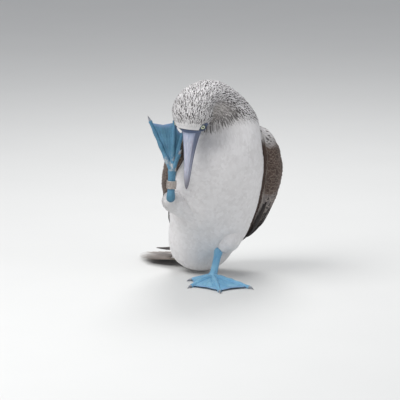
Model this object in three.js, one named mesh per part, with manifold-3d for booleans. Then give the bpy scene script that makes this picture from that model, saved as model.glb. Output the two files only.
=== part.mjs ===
// A life-size blue-footed booby that stands on its left foot and scratches its bowed head with the right one.
// Millimetres. The bird faces -Y, its left side is +X and +Z is up. The origin is on the floor,
// under the joint where the toes of the standing foot meet.
import * as THREE from 'three';
import { mergeVertices } from 'three/addons/utils/BufferGeometryUtils.js';
import Module from 'manifold-3d';

const wasm = await Module();
wasm.setup();

// Driving dimensions
const GAP = 0.3;
const BILL_LENGTH = 106;
const EYE_RADIUS = 5.6;
const TARSUS_RADIUS = 6.6;
const BAND_RADIUS = 8.8;
const BAND_HEIGHT = 14;
const BAND_WALL = 1.0;
const CLAW_LENGTH = 11;
const TAIL_LENGTH = 155;

const vec = (x, y, z) => new THREE.Vector3(x, y, z);

// Solids from closed meshes, and meshes from solids

function toSolid(geometry) {
  const bare = mergeVertices(geometry, 1e-4);
  const triVerts = new Uint32Array(bare.index.array);
  const vertProperties = bare.attributes.position.array;
  const made = new wasm.Manifold(new wasm.Mesh({ numProp: 3, vertProperties, triVerts }));
  if (made.volume() > 0) return made;
  for (let i = 0; i < triVerts.length; i += 3) {
    [triVerts[i + 1], triVerts[i + 2]] = [triVerts[i + 2], triVerts[i + 1]];
  }
  return new wasm.Manifold(new wasm.Mesh({ numProp: 3, vertProperties, triVerts }));
}

function toGeometry(solid) {
  const { vertProperties, triVerts, numProp } = solid.getMesh();
  const count = vertProperties.length / numProp;
  const position = new Float32Array(count * 3);
  for (let i = 0; i < count; i++) {
    position.set(vertProperties.subarray(i * numProp, i * numProp + 3), i * 3);
  }
  const geometry = new THREE.BufferGeometry();
  geometry.setAttribute('position', new THREE.BufferAttribute(position, 3));
  geometry.setIndex(new THREE.BufferAttribute(triVerts, 1));
  geometry.computeVertexNormals();
  return geometry;
}

const largest = (solid) => solid.decompose().reduce((a, b) => (a.volume() > b.volume() ? a : b));
const cut = (solid, ...tools) => largest(tools.reduce((left, tool) => left.subtract(tool), solid));
const join = (solids) => largest(solids.reduce((sum, one) => sum.add(one)));

// A closed skin over rings of equal point count, with a flat cap at each end. The two halves of a ring are
// split into triangles alike, so that the two faces of a thin curved sheet keep apart.
function skinOver(rings) {
  const count = rings[0].length;
  const middle = (ring) => ring.reduce((sum, p) => sum.add(p), vec(0, 0, 0)).divideScalar(count);
  const points = [...rings.flat(), middle(rings[0]), middle(rings[rings.length - 1])];
  const index = [];
  for (let k = 0; k < count; k++) {
    const next = (k + 1) % count;
    for (let i = 0; i + 1 < rings.length; i++) {
      const [a, b, c, d] = [i * count + k, i * count + next, (i + 1) * count + next, (i + 1) * count + k];
      if (k < count / 2) index.push(a, b, c, a, c, d);
      else index.push(a, b, d, b, c, d);
    }
    const last = (rings.length - 1) * count;
    index.push(points.length - 2, next, k, points.length - 1, last + k, last + next);
  }
  const geometry = new THREE.BufferGeometry().setFromPoints(points);
  geometry.setIndex(index);
  return toSolid(geometry);
}

// A spine is a smooth line through stations. Each has a place, a size [side, back, front] and a left direction.
function spineOf(stations) {
  const smooth = (key) => new THREE.CatmullRomCurve3(
    stations.map((s) => vec(...s[key])), false, 'catmullrom', 0.5);
  return { line: smooth('at'), size: smooth('size'), left: smooth('left'), last: stations.length - 1 };
}

// The frame of a spine at a station number, which may be a fraction.
function frameAt(spine, station) {
  const t = THREE.MathUtils.clamp(station / spine.last, 0, 1);
  const ahead = spine.line.getTangent(t);
  const left = spine.left.getPoint(t);
  left.addScaledVector(ahead, -left.dot(ahead)).normalize();
  const back = vec(0, 0, 0).crossVectors(ahead, left);
  return { at: spine.line.getPoint(t), ahead, left, back, size: spine.size.getPoint(t) };
}

// A point round a spine. The angle runs from the left side over the back to the right side and the front.
function pointRound(spine, station, angle, grow = 0) {
  const { at, left, back, size } = frameAt(spine, station);
  const depth = Math.sin(angle) > 0 ? size.y : size.z;
  return at.clone()
    .addScaledVector(left, (size.x + grow) * Math.cos(angle))
    .addScaledVector(back, (depth + grow) * Math.sin(angle));
}

function ringRound(spine, station, sides, grow) {
  return Array.from({ length: sides }, (_, k) => (
    pointRound(spine, station, (2 * Math.PI * k) / sides, grow)));
}

// The solid round a spine from one station to another, longer by grow at both ends.
function loft(spine, from, to, steps, sides, grow = 0) {
  const rings = [];
  for (let i = 0; i <= steps; i++) {
    rings.push(ringRound(spine, from + ((to - from) * i) / steps, sides, grow));
  }
  const first = frameAt(spine, from).ahead;
  const last = frameAt(spine, to).ahead;
  rings[0].forEach((p) => p.addScaledVector(first, -grow));
  rings[steps].forEach((p) => p.addScaledVector(last, grow));
  return skinOver(rings);
}

// A round tube through places with a radius at each.
function tube(places, radii, steps, sides, grow = 0, left = [1, 0, 0]) {
  const spine = spineOf(places.map((at, i) => ({
    at, size: [radii[i], radii[i], radii[i]], left })));
  return loft(spine, 0, places.length - 1, steps, sides, grow);
}

function ball(centre, radii, grow = 0) {
  const geometry = new THREE.SphereGeometry(1, 12, 8);
  geometry.deleteAttribute('normal');
  geometry.deleteAttribute('uv');
  geometry.scale(radii[0] + grow, radii[1] + grow, radii[2] + grow);
  geometry.translate(...centre);
  return toSolid(geometry);
}

// Trunk, neck and head share one spine from the tail's root to the bill. The body leans to its left over the
// standing foot. The neck arches forward and to the right, so that the head hangs with its crown in front.
const HEAD_LEFT = [0.815, -0.572, -0.06];
const BODY = [
  { at: [-68, 213, 14], size: [18, 5, 5], left: [1, 0.3, 0] },
  { at: [-34, 156, 20], size: [26, 8, 8], left: [1, 0.25, 0] },
  { at: [-15, 108, 27], size: [25, 12, 13], left: [1, 0.12, -0.05] },
  { at: [-12, 94, 32], size: [41, 23, 27], left: [1, 0.05, -0.1] },
  { at: [-11.5, 78, 42], size: [55, 34, 46], left: [1, 0, -0.1] },
  { at: [-8, 63, 66], size: [64, 45, 50], left: [1, 0, -0.1] },
  { at: [-1.5, 49, 90], size: [71, 52, 54], left: [1, 0, -0.1] },
  { at: [2, 34, 116], size: [76, 56, 58], left: [1, 0, -0.1] },
  { at: [4, 17, 144], size: [80, 58, 61], left: [1, 0, -0.1] },
  { at: [4.5, 1, 172], size: [82, 60, 62], left: [1, 0, -0.1] },
  { at: [5, -16, 200], size: [82, 60, 62], left: [1, 0, -0.1] },
  { at: [7, -32, 228], size: [80, 57, 60], left: [1, 0, -0.08] },
  { at: [12, -45, 254], size: [73, 50, 55], left: [1, 0, -0.06] },
  { at: [17, -52, 277], size: [60, 43, 45], left: [1, -0.08, -0.04] },
  { at: [14, -59, 304], size: [53, 39, 32], left: [0.96, -0.2, 0.12] },
  { at: [2, -68, 329], size: [41, 38, 26], left: [0.83, -0.37, 0.4] },
  { at: [-22, -86, 345], size: [38, 37, 23], left: [0.72, -0.48, 0.5] },
  { at: [-45, -101, 342], size: [39, 36, 17], left: [0.78, -0.55, 0.25] },
  { at: [-55.5, -108, 327], size: [38.5, 35, 15], left: HEAD_LEFT },
  { at: [-58, -109, 312], size: [32, 28, 18], left: HEAD_LEFT },
  { at: [-58.3, -108.8, 303], size: [25, 23, 20], left: HEAD_LEFT },
  { at: [-58.6, -108.6, 296], size: [17, 16, 17], left: HEAD_LEFT },
];
const TAIL_END = 2;
const NECK_START = 13;
const HEAD_START = 17;
const HEAD_END = 21;
const body = spineOf(BODY);

const trunk = (grow = 0) => loft(body, TAIL_END, NECK_START, 17, 24, grow);
const neck = (grow = 0) => loft(body, NECK_START, HEAD_START, 10, 24, grow);
const skull = (grow = 0) => loft(body, HEAD_START, HEAD_END, 11, 22, grow);

// The head's own directions at the bill: ahead along the bill, out of the crown and to the bird's left.
const BILL_BASE = vec(-58.4, -108.6, 299);
const BILL_AHEAD = vec(-0.107, -0.054, -0.993).normalize();
const BILL_LEFT = vec(...HEAD_LEFT).addScaledVector(BILL_AHEAD, -vec(...HEAD_LEFT).dot(BILL_AHEAD)).normalize();
const BILL_UP = vec(0, 0, 0).crossVectors(BILL_AHEAD, BILL_LEFT);
const onHead = (ahead, left, up) => BILL_BASE.clone()
  .addScaledVector(BILL_AHEAD, ahead)
  .addScaledVector(BILL_LEFT, left)
  .addScaledVector(BILL_UP, up);

// Half-width, height over the mouth line and depth under it, along the bill as shares of its length.
const BILL_ROOT = -9;
const BILL_STATIONS = [
  { share: 0, half: 18.3, over: 15, under: 18 },
  { share: 0.09, half: 17, over: 15, under: 17 },
  { share: 0.2, half: 14.2, over: 14, under: 13.5 },
  { share: 0.3, half: 12, over: 12.8, under: 10.5 },
  { share: 0.42, half: 9.8, over: 10.8, under: 8 },
  { share: 0.55, half: 8, over: 9, under: 6.2 },
  { share: 0.7, half: 6.6, over: 7.4, under: 4.8 },
  { share: 0.84, half: 5.2, over: 6, under: 3.6 },
  { share: 0.94, half: 3.4, over: 4.2, under: 2.3 },
  { share: 1, half: 0.9, over: 1.0, under: 0.6 },
];
const MOUTH_HEIGHT = -1.5;
const TIP_DROOP = 2.4;
const GROOVE_ANGLE = 0.62;
const GROOVE_WIDTH = 0.2;
const GROOVE_DEPTH = 1.1;

// Height of the mouth line over the bill's axis, drooping to the tip.
const mouthAt = (share) => MOUTH_HEIGHT - TIP_DROOP * share ** 4;

// One mandible: half rings over or under the mouth line, closed by a flat along it.
function mandible(side, inset) {
  const arcPoints = 15;
  const rings = BILL_STATIONS.map(({ share, half, over, under }) => {
    const depth = side > 0 ? over : under;
    const ahead = BILL_ROOT + share * (BILL_LENGTH - BILL_ROOT);
    return Array.from({ length: arcPoints }, (_, k) => {
      const angle = (Math.PI * k) / (arcPoints - 1);
      const fromGroove = (Math.min(angle, Math.PI - angle) - GROOVE_ANGLE) / GROOVE_WIDTH;
      const groove = side > 0 ? GROOVE_DEPTH * Math.exp(-(fromGroove ** 2)) * (1 - share) : 0;
      const out = 1 - groove / depth;
      return onHead(ahead, half * out * Math.cos(angle),
        mouthAt(share) + side * (inset + depth * out * Math.sin(angle) ** 0.9));
    });
  });
  return skinOver(rings);
}

// Each eye bulges a little from the side of the head, in a ring of lids.
const EYE_BACK = 8.5;
const EYE_SIDE = 22.3;
const EYE_UP = 4.5;
const LID_RADIUS = 5.4;
const LID_THICKNESS = 1.5;
const eyeCentre = (side) => onHead(-EYE_BACK, side * EYE_SIDE, EYE_UP);
const eyeball = (side, grow = 0) => ball(eyeCentre(side).toArray(),
  [EYE_RADIUS, EYE_RADIUS, EYE_RADIUS], grow);

function lid(side) {
  const geometry = new THREE.TorusGeometry(LID_RADIUS, LID_THICKNESS, 5, 14);
  geometry.deleteAttribute('normal');
  geometry.deleteAttribute('uv');
  const out = BILL_LEFT.clone().multiplyScalar(side);
  geometry.applyQuaternion(new THREE.Quaternion().setFromUnitVectors(vec(0, 0, 1), out));
  const centre = eyeCentre(side).addScaledVector(out, 2.4);
  geometry.translate(...centre.toArray());
  return toSolid(geometry);
}

// The mouth line runs back from the bill across each cheek to behind the eye.
const GAPE_LENGTH = 13;
function gape(side) {
  const reach = [12, -4, -GAPE_LENGTH];
  const outward = [18, 22, 27];
  const rings = reach.map((ahead, i) => {
    const drop = MOUTH_HEIGHT - 1.5 - i * 2;
    return [
      onHead(ahead, side * 12, drop - 0.5), onHead(ahead, side * outward[i] * 1.3, drop - 0.5),
      onHead(ahead, side * outward[i] * 1.3, drop + 0.5), onHead(ahead, side * 12, drop + 0.5),
    ];
  });
  return skinOver(rings);
}

// Legs: each has a feathered thigh, a bare tarsus, a foot of four toes joined by webs, and four claws.
const STANDING = {
  thigh: [[22, 14, 102], [27, 3, 76], [20, 1, 63], [13, 2, 56]],
  thighRadii: [36, 26, 17, 9.5],
  ankle: [11, 2, 56],
  base: [0, 0, 8.5],
  toes: { outer: [52, -74, 2.8], middle: [-5, -93, 2.8], inner: [-48, -47, 2.8], hind: [-38, 2, 2.8] },
  dorsal: vec(0, 0, 1),
};
const RAISED = {
  thigh: [[-38, -8, 140], [-67, -25, 151], [-83, -46, 159], [-90, -75, 168.5]],
  thighRadii: [34, 23, 18.5, 11],
  ankle: [-91, -84, 171],
  base: [-88, -82, 219],
  toes: {
    outer: [-124, -64, 308], middle: [-82, -74, 309], inner: [-68, -74, 286], hind: [-76, -88, 252] },
  dorsal: vec(0.05, 0.98, 0.15).normalize(),
};
const TOE_NAMES = ['outer', 'middle', 'inner', 'hind'];
const TOE_ROOT_RADIUS = 5.2;
const TOE_TIP_RADIUS = 3.1;
const TOE_JOINTS = { outer: 4, middle: 3, inner: 2, hind: 1 };
const KNUCKLE = 0.45;
const WEB_THICKNESS = 1.3;
const WEB_SCALLOP = 0.07;
const ANKLE_RADIUS = 8.2;

const thigh = (leg) => tube(leg.thigh, leg.thighRadii, 8, 20);

// The tarsus, knobbed at the ankle and widening to the toes.
function tarsus(leg, grow = 0) {
  const [top, end] = [vec(...leg.ankle), vec(...leg.base)];
  const along = (share) => top.clone().lerp(end, share).toArray();
  return tube([-0.12, -0.04, 0.1, 0.3, 0.7, 0.9, 1.0].map(along),
    [3, ANKLE_RADIUS - 1, ANKLE_RADIUS - 0.4, TARSUS_RADIUS, TARSUS_RADIUS, 7, 7.4], 10, 12, grow);
}

// The middle line of a toe, from the foot's base to its tip, bowed a little towards its upper side.
function toeLine(leg, name) {
  const [start, end] = [vec(...leg.base), vec(...leg.toes[name])];
  const middle = start.clone().lerp(end, 0.5).addScaledVector(leg.dorsal, leg.bow);
  return new THREE.QuadraticBezierCurve3(start, middle, end);
}

// A toe tapers to its tip and swells at each joint.
function toe(leg, name) {
  const line = toeLine(leg, name);
  const steps = 6;
  const places = Array.from({ length: steps + 1 }, (_, i) => line.getPoint(i / steps).toArray());
  const radii = places.map((_, i) => {
    const share = i / steps;
    const swell = KNUCKLE * Math.cos(2 * Math.PI * TOE_JOINTS[name] * share);
    return THREE.MathUtils.lerp(TOE_ROOT_RADIUS, TOE_TIP_RADIUS, share) + swell;
  });
  return tube(places, radii, steps, 7, 0, leg.dorsal.toArray());
}

// The web between two toes is a thin sheet whose free edge curves in.
function web(leg, first, second) {
  const [a, b] = [toeLine(leg, first), toeLine(leg, second)];
  const across = 3;
  const along = 3;
  const rings = [];
  for (let i = 0; i <= along; i++) {
    const upper = [];
    const lower = [];
    for (let k = 0; k <= across; k++) {
      const share = k / across;
      const reach = 0.03 + 0.93 * (i / along) * (1 - WEB_SCALLOP * Math.sin(Math.PI * share));
      const middle = a.getPoint(reach).lerp(b.getPoint(reach), share);
      upper.push(middle.clone().addScaledVector(leg.dorsal, WEB_THICKNESS / 2));
      lower.unshift(middle.clone().addScaledVector(leg.dorsal, -WEB_THICKNESS / 2));
    }
    rings.push([...upper, ...lower]);
  }
  return skinOver(rings);
}

// A claw grows on from its toe and hooks away from the foot's upper side.
function claw(leg, name, grow = 0) {
  const line = toeLine(leg, name);
  const ahead = line.getTangent(1);
  const tip = line.getPoint(1);
  const shares = [-0.45, 0, 0.45, 0.8, 1];
  const radii = [2.4, 2.6, 1.9, 1.0, 0.4];
  const places = shares.map((share) => tip.clone()
    .addScaledVector(ahead, share * CLAW_LENGTH)
    .addScaledVector(leg.dorsal, leg.clawLift * Math.sin(Math.PI * Math.max(share, 0)) - leg.clawHook * share ** 2)
    .toArray());
  return tube(places, radii, 5, 6, grow, leg.dorsal.toArray());
}

Object.assign(STANDING, { bow: 2.5, clawLift: 1.2, clawHook: 1.2 });
Object.assign(RAISED, { bow: 3.5, clawLift: 1.0, clawHook: 3.5 });

// The half space under the floor, which gives the standing foot its flat sole.
function floorCutter() {
  const geometry = new THREE.BoxGeometry(400, 500, 60);
  geometry.deleteAttribute('normal');
  geometry.deleteAttribute('uv');
  geometry.translate(0, 0, -30);
  return toSolid(geometry);
}

function foot(leg, flat) {
  const pieces = TOE_NAMES.map((name) => toe(leg, name));
  for (let i = 0; i + 1 < TOE_NAMES.length; i++) {
    pieces.push(web(leg, TOE_NAMES[i], TOE_NAMES[i + 1]));
  }
  pieces.push(ball(leg.base, flat ? [9.5, 9.5, 9] : [8, 6.5, 9]));
  const claws = TOE_NAMES.map((name) => claw(leg, name, GAP));
  const whole = cut(join(pieces), tarsus(leg, GAP), ...claws);
  return flat ? cut(whole, floorCutter()) : whole;
}

// A leg band: a short open cylinder round the raised tarsus.
function legBand() {
  const [top, end] = [vec(...RAISED.ankle), vec(...RAISED.base)];
  const axis = end.clone().sub(top).normalize();
  const outline = [
    new THREE.Vector2(BAND_RADIUS - BAND_WALL, -BAND_HEIGHT / 2),
    new THREE.Vector2(BAND_RADIUS, -BAND_HEIGHT / 2),
    new THREE.Vector2(BAND_RADIUS, BAND_HEIGHT / 2),
    new THREE.Vector2(BAND_RADIUS - BAND_WALL, BAND_HEIGHT / 2),
    new THREE.Vector2(BAND_RADIUS - BAND_WALL, -BAND_HEIGHT / 2),
  ];
  const geometry = new THREE.LatheGeometry(outline, 22);
  geometry.deleteAttribute('normal');
  geometry.deleteAttribute('uv');
  geometry.applyQuaternion(new THREE.Quaternion().setFromUnitVectors(vec(0, 1, 0), axis));
  geometry.translate(...top.lerp(end, 0.53).toArray());
  return toSolid(geometry);
}

// Wings. A wing lies on the trunk's spine as a shell. Each row across it has a station, the angles of its
// leading and trailing edge in degrees, and how far it stands off the body between them.
const WINGS = {
  left: {
    mirror: false,
    rows: [
      { row: [13.35, 0, 42], lift: [12, 4, 0] }, { row: [12.8, -6, 58], lift: [23, 5, 0] },
      { row: [11.6, -10, 66], lift: [34, 6, 0] }, { row: [10, -10, 72], lift: [40, 6, 0] },
      { row: [8.5, -8, 76], lift: [39, 6, 0] }, { row: [7, -4, 80], lift: [36, 6, 0] },
      { row: [5.5, 4, 83], lift: [33, 5, 0] }, { row: [4, 14, 86], lift: [30, 5, 0] },
      { row: [3, 24, 77], lift: [24, 4, 0] }, { row: [2, 32, 66], lift: [15, 4, 0] },
      { row: [1, 32, 50], lift: [8, 3, 0] }, { row: [0.3, 36, 48], lift: [3, 2, 0] },
    ],
  },
  right: {
    mirror: true,
    rows: [
      { row: [13.2, 4, 42], lift: [6, 4, 0] }, { row: [12.4, -16, 58], lift: [10, 4, 0] },
      { row: [11.3, -23, 66], lift: [13, 4, 0] }, { row: [10.2, -15, 71], lift: [15, 4, 0] },
      { row: [9, -4, 74], lift: [16, 4, 0] }, { row: [8, 8, 76], lift: [16, 4, 0] },
      { row: [7, 20, 80], lift: [14, 4, 0] }, { row: [5.5, 30, 83], lift: [12, 4, 0] },
      { row: [4, 36, 83], lift: [11, 4, 0] }, { row: [3, 38, 77], lift: [10, 4, 0] },
      { row: [2, 38, 66], lift: [9, 4, 0] }, { row: [1, 36, 52], lift: [6, 3, 0] },
      { row: [0.3, 38, 50], lift: [3, 2, 0] },
    ],
  },
};
const WING_ROOT_DEPTH = -4;
const WING_TIP_LIFT = 1.2;
for (const wing of Object.values(WINGS)) {
  const smooth = (key) => new THREE.CatmullRomCurve3(
    wing.rows.map((r) => vec(...r[key])), false, 'catmullrom', 0.5);
  wing.row = smooth('row');
  wing.lift = smooth('lift');
}

// A point of a wing: along from its shoulder to its tip, across from its leading to its trailing edge.
function onWing(wing, along, across, raise) {
  const row = wing.row.getPoint(along);
  const degrees = THREE.MathUtils.lerp(row.y, row.z, across);
  const angle = THREE.MathUtils.degToRad(wing.mirror ? 180 - degrees : degrees);
  return pointRound(body, row.x, angle, raise);
}

// How far the outside of the wing stands off the trunk's spine.
function wingLift(wing, along, across) {
  const lift = wing.lift.getPoint(along);
  return lift.y + (lift.x - lift.y) * Math.sin(Math.PI * across ** 0.6) ** 0.8;
}

// How far its inside does: sunk into the trunk, then clear of the tail.
function wingInside(wing, along) {
  const beyond = THREE.MathUtils.smoothstep(-wing.row.getPoint(along).x, -3, -1.6);
  return THREE.MathUtils.lerp(WING_ROOT_DEPTH, WING_TIP_LIFT, beyond);
}

// The core of a wing under its feathers, which ends where the flight feathers run on alone.
const CORE_SINK = 1.2;
function wingCore(wing) {
  const steps = 10;
  const across = 4;
  const end = alongAt(wing, CORE_END);
  const rings = [];
  for (let i = 0; i <= steps; i++) {
    const along = (end * i) / steps;
    const outside = [];
    const inside = [];
    for (let k = 0; k <= across; k++) {
      outside.push(onWing(wing, along, k / across, wingLift(wing, along, k / across) - CORE_SINK));
      inside.unshift(onWing(wing, along, k / across, wingInside(wing, along)));
    }
    rings.push([...outside, ...inside]);
  }
  return skinOver(rings);
}

// How far along a wing a station of the spine lies.
function alongAt(wing, station) {
  let [low, high] = [0, 1];
  for (let i = 0; i < 24; i++) {
    const middle = (low + high) / 2;
    if (wing.row.getPoint(middle).x > station) low = middle;
    else high = middle;
  }
  return low;
}

// Tiers of vanes from the shoulder down: where their roots and tips lie, and how many there are.
// Roots and tips are [station, across] of the first and the last vane.
const CORE_END = 2.1;
const TIERS = [
  { root: [[12.7, 0.16], [12.7, 0.85]], tip: [[11.0, 0.13], [10.9, 0.9]], count: 4 },
  { root: [[11.4, 0.12], [11.3, 0.88]], tip: [[9.5, 0.1], [9.4, 0.93]], count: 4 },
  { root: [[10.0, 0.12], [9.8, 0.9]], tip: [[7.9, 0.1], [7.7, 0.93]], count: 5 },
  { root: [[8.4, 0.12], [8.2, 0.9]], tip: [[6.1, 0.1], [5.7, 0.93]], count: 5 },
  { root: [[6.8, 0.34], [6.4, 0.9]], tip: [[4.2, 0.38], [2.5, 0.92]], count: 4 },
  { root: [[6.4, 0.12], [6.2, 0.3]], tip: [[0.25, 0.5], [2.5, 0.3]], count: 4 },
];
const VANE_SHARES = [0, 0.4, 0.82, 1];
const VANE_WIDTHS = [0.6, 1, 0.86, 0.2];
const VANE_OVERLAP = 1.2;
const VANE_LEAST = 13;
const VANE_THICKNESS = 2;
const VANE_SINK = 2.2;
const VANE_RAISE = 1.2;
const VANE_TILT = 0.7;

// A vane: a thin blade over four sides, broadest past its middle. Its edges are tilted to lap its neighbours.
function vane(centres, across, out, widths, thickness) {
  const rings = centres.map((centre, i) => {
    const side = across[i].clone().multiplyScalar((widths[i] * VANE_WIDTHS[i]) / 2);
    const up = out[i].clone().multiplyScalar(thickness / 2);
    const tilt = out[i].clone().multiplyScalar(VANE_TILT * VANE_WIDTHS[i]);
    const high = centre.clone().add(side).add(tilt);
    const low = centre.clone().sub(side).sub(tilt);
    return [high.clone().add(up), low.clone().add(up), low.clone().sub(up), high.clone().sub(up)];
  });
  return skinOver(rings);
}

// The middle line of a vane on the wing, with the surface's directions across it and out of it.
function vaneLine(wing, root, tip) {
  const start = [alongAt(wing, root[0]), root[1]];
  const end = [alongAt(wing, tip[0]), tip[1]];
  const place = (share) => [
    THREE.MathUtils.lerp(start[0], end[0], share), THREE.MathUtils.lerp(start[1], end[1], share)];
  const surface = (along, across, raise) => (
    onWing(wing, along, across, wingLift(wing, along, across) + raise));
  return VANE_SHARES.map((share) => {
    const [along, across] = place(share);
    const raise = THREE.MathUtils.lerp(-VANE_SINK, VANE_RAISE, share) - VANE_THICKNESS / 2;
    const ahead = surface(...place(share + 0.02), 0).sub(surface(...place(share - 0.02), 0)).normalize();
    const over = surface(along, across + 0.02, 0).sub(surface(along, across - 0.02, 0));
    const out = vec(0, 0, 0).crossVectors(over, ahead).normalize();
    if (wing.mirror) out.negate();
    return { centre: surface(along, across, raise), out, side: vec(0, 0, 0).crossVectors(out, ahead).normalize() };
  });
}

function plumedWing(wing) {
  const pieces = [wingCore(wing)];
  for (const { root, tip, count } of TIERS) {
    const between = ([a, b], share) => [
      THREE.MathUtils.lerp(a[0], b[0], share), THREE.MathUtils.lerp(a[1], b[1], share)];
    const lines = Array.from({ length: count }, (_, k) => (
      vaneLine(wing, between(root, k / (count - 1)), between(tip, k / (count - 1)))));
    lines.forEach((line, k) => {
      const beside = lines[k > 0 ? k - 1 : 1];
      const widths = line.map(({ centre }, i) => (
        Math.max(VANE_LEAST, VANE_OVERLAP * centre.distanceTo(beside[i].centre))));
      pieces.push(vane(line.map((p) => p.centre), line.map((p) => p.side), line.map((p) => p.out),
        widths, VANE_THICKNESS));
    });
  }
  return join(pieces);
}

// The tail: a wedge of vanes from the body's end to the floor, the middle ones the longest and on top.
const TAIL_ROOT = vec(-12, 96, 23);
const TAIL_AHEAD = vec(-0.5, 0.86, -0.12).normalize();
const TAIL_VANES = 10;
const TAIL_SPREAD = 0.36;
const TAIL_WEDGE = 0.36;
const TAIL_WIDTH = 19;
const TAIL_STACK = 3.2;
const TAIL_THICKNESS = 1.8;
function tailFan() {
  const up = vec(0, 0, 1).addScaledVector(TAIL_AHEAD, -TAIL_AHEAD.z).normalize();
  const side = vec(0, 0, 0).crossVectors(TAIL_AHEAD, up);
  const pieces = [];
  for (let k = 0; k < TAIL_VANES; k++) {
    const share = (2 * k) / (TAIL_VANES - 1) - 1;
    const ahead = TAIL_AHEAD.clone().multiplyScalar(Math.cos(share * TAIL_SPREAD))
      .addScaledVector(side, Math.sin(share * TAIL_SPREAD));
    const across = vec(0, 0, 0).crossVectors(up, ahead).multiplyScalar(Math.sign(share));
    const length = TAIL_LENGTH * (1 - TAIL_WEDGE * Math.abs(share) ** 1.4);
    const root = TAIL_ROOT.clone().addScaledVector(side, share * 9)
      .addScaledVector(up, -TAIL_STACK * Math.abs(share));
    const centres = VANE_SHARES.map((at) => root.clone().addScaledVector(ahead, length * at));
    pieces.push(vane(centres, centres.map(() => across), centres.map(() => up),
      centres.map(() => TAIL_WIDTH), TAIL_THICKNESS));
  }
  const base = TAIL_ROOT.clone().addScaledVector(TAIL_AHEAD, 6).addScaledVector(up, -1.5);
  pieces.push(ball(base.toArray(), [20, 14, 4.5]));
  return join(pieces);
}

// Colours and finishes
const finish = (color, roughness, metalness = 0) => new THREE.MeshStandardMaterial({
  color, roughness, metalness });
const WHITE_PLUMAGE = finish(0xd8d6d4, 0.9);
const STREAKED_PLUMAGE = finish(0xa39d98, 0.9);
const WING_PLUMAGE = finish(0x4b3f3a, 0.8);
const TAIL_PLUMAGE = finish(0x77695f, 0.8);
const BILL_HORN = finish(0x8f9db2, 0.5);
const EYE_WET = finish(0xc4cfa4, 0.1);
const FOOT_SKIN = finish(0x5fa8d0, 0.6);
const CLAW_HORN = finish(0x6c7078, 0.5);
const BAND_METAL = finish(0x9b948c, 0.4, 0.9);

const bird = new THREE.Group();
function add(name, solid, material) {
  const mesh = new THREE.Mesh(toGeometry(solid), material);
  mesh.name = name;
  bird.add(mesh);
  return solid;
}

function assemble() {
  const legs = { left: STANDING, right: RAISED };
  const trunkCutter = trunk(GAP);
  const neckCutter = neck(GAP);
  const skullCutter = skull(GAP);
  const wings = { left: plumedWing(WINGS.left), right: plumedWing(WINGS.right) };
  const thighs = { left: thigh(legs.left), right: thigh(legs.right) };
  const thighCutter = (leg) => tube(leg.thigh, leg.thighRadii, 8, 20, GAP);

  add('torso', trunk(), WHITE_PLUMAGE);
  add('neck', cut(neck(), trunkCutter), STREAKED_PLUMAGE);
  const head = join([skull(), lid(1), lid(-1)]);
  const mouths = [gape(1), gape(-1)];
  const eyeCutters = [eyeball(1, GAP), eyeball(-1, GAP)];
  add('head', cut(head, neckCutter, ...eyeCutters, ...mouths), STREAKED_PLUMAGE);
  add('eye_left', eyeball(1), EYE_WET);
  add('eye_right', eyeball(-1), EYE_WET);
  add('bill_upper', cut(mandible(1, 0.25), skullCutter, ...eyeCutters, lid(1), lid(-1)), BILL_HORN);
  add('bill_lower', cut(mandible(-1, 0.25), skullCutter, ...eyeCutters, lid(1), lid(-1)), BILL_HORN);

  for (const [side, leg] of Object.entries(legs)) {
    add(`thigh_${side}`, cut(thighs[side], trunkCutter), WHITE_PLUMAGE);
    add(`tarsus_${side}`, cut(tarsus(leg), thighCutter(leg), trunkCutter), FOOT_SKIN);
    add(`foot_${side}`, foot(leg, side === 'left'), FOOT_SKIN);
    for (const name of TOE_NAMES) {
      const whole = claw(leg, name);
      add(`claw_${side}_${name}`, side === 'left' ? cut(whole, floorCutter()) : whole, CLAW_HORN);
    }
  }
  add('leg_band', legBand(), BAND_METAL);
  for (const [side, pad] of Object.entries(wings)) {
    add(`wing_${side}`, cut(pad, trunkCutter, neckCutter, thighCutter(legs[side])), WING_PLUMAGE);
  }
  add('tail', cut(tailFan(), trunkCutter, wings.left, wings.right), TAIL_PLUMAGE);
}

assemble();

export default bird;
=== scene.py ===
"""The looks of a life-size blue-footed booby that stands on one foot and scratches its bowed head."""
import math

import bpy
import numpy as np
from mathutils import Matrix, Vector


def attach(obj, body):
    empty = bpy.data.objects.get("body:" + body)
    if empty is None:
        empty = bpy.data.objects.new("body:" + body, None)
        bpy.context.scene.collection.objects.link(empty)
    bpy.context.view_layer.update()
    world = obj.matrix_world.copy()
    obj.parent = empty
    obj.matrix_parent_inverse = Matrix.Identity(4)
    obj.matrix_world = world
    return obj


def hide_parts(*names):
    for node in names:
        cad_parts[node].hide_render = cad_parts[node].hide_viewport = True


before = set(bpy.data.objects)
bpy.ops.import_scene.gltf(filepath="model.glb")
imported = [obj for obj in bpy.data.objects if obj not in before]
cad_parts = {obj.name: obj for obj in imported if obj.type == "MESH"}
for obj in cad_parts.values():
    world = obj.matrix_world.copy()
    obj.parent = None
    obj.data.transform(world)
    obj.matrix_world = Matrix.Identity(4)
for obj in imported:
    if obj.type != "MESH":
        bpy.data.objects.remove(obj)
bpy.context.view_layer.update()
rng = np.random.default_rng(11)

# Lengths are in millimetres, as in the solids, and turn into metres where a mesh is made.
MM = 0.001
TURN = 2 * math.pi


# Smooth lines and surfaces


def unit(vectors):
    return vectors / np.maximum(np.linalg.norm(vectors, axis=-1, keepdims=True), 1e-9)


def dot(a, b):
    return (a * b).sum(-1, keepdims=True)


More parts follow.
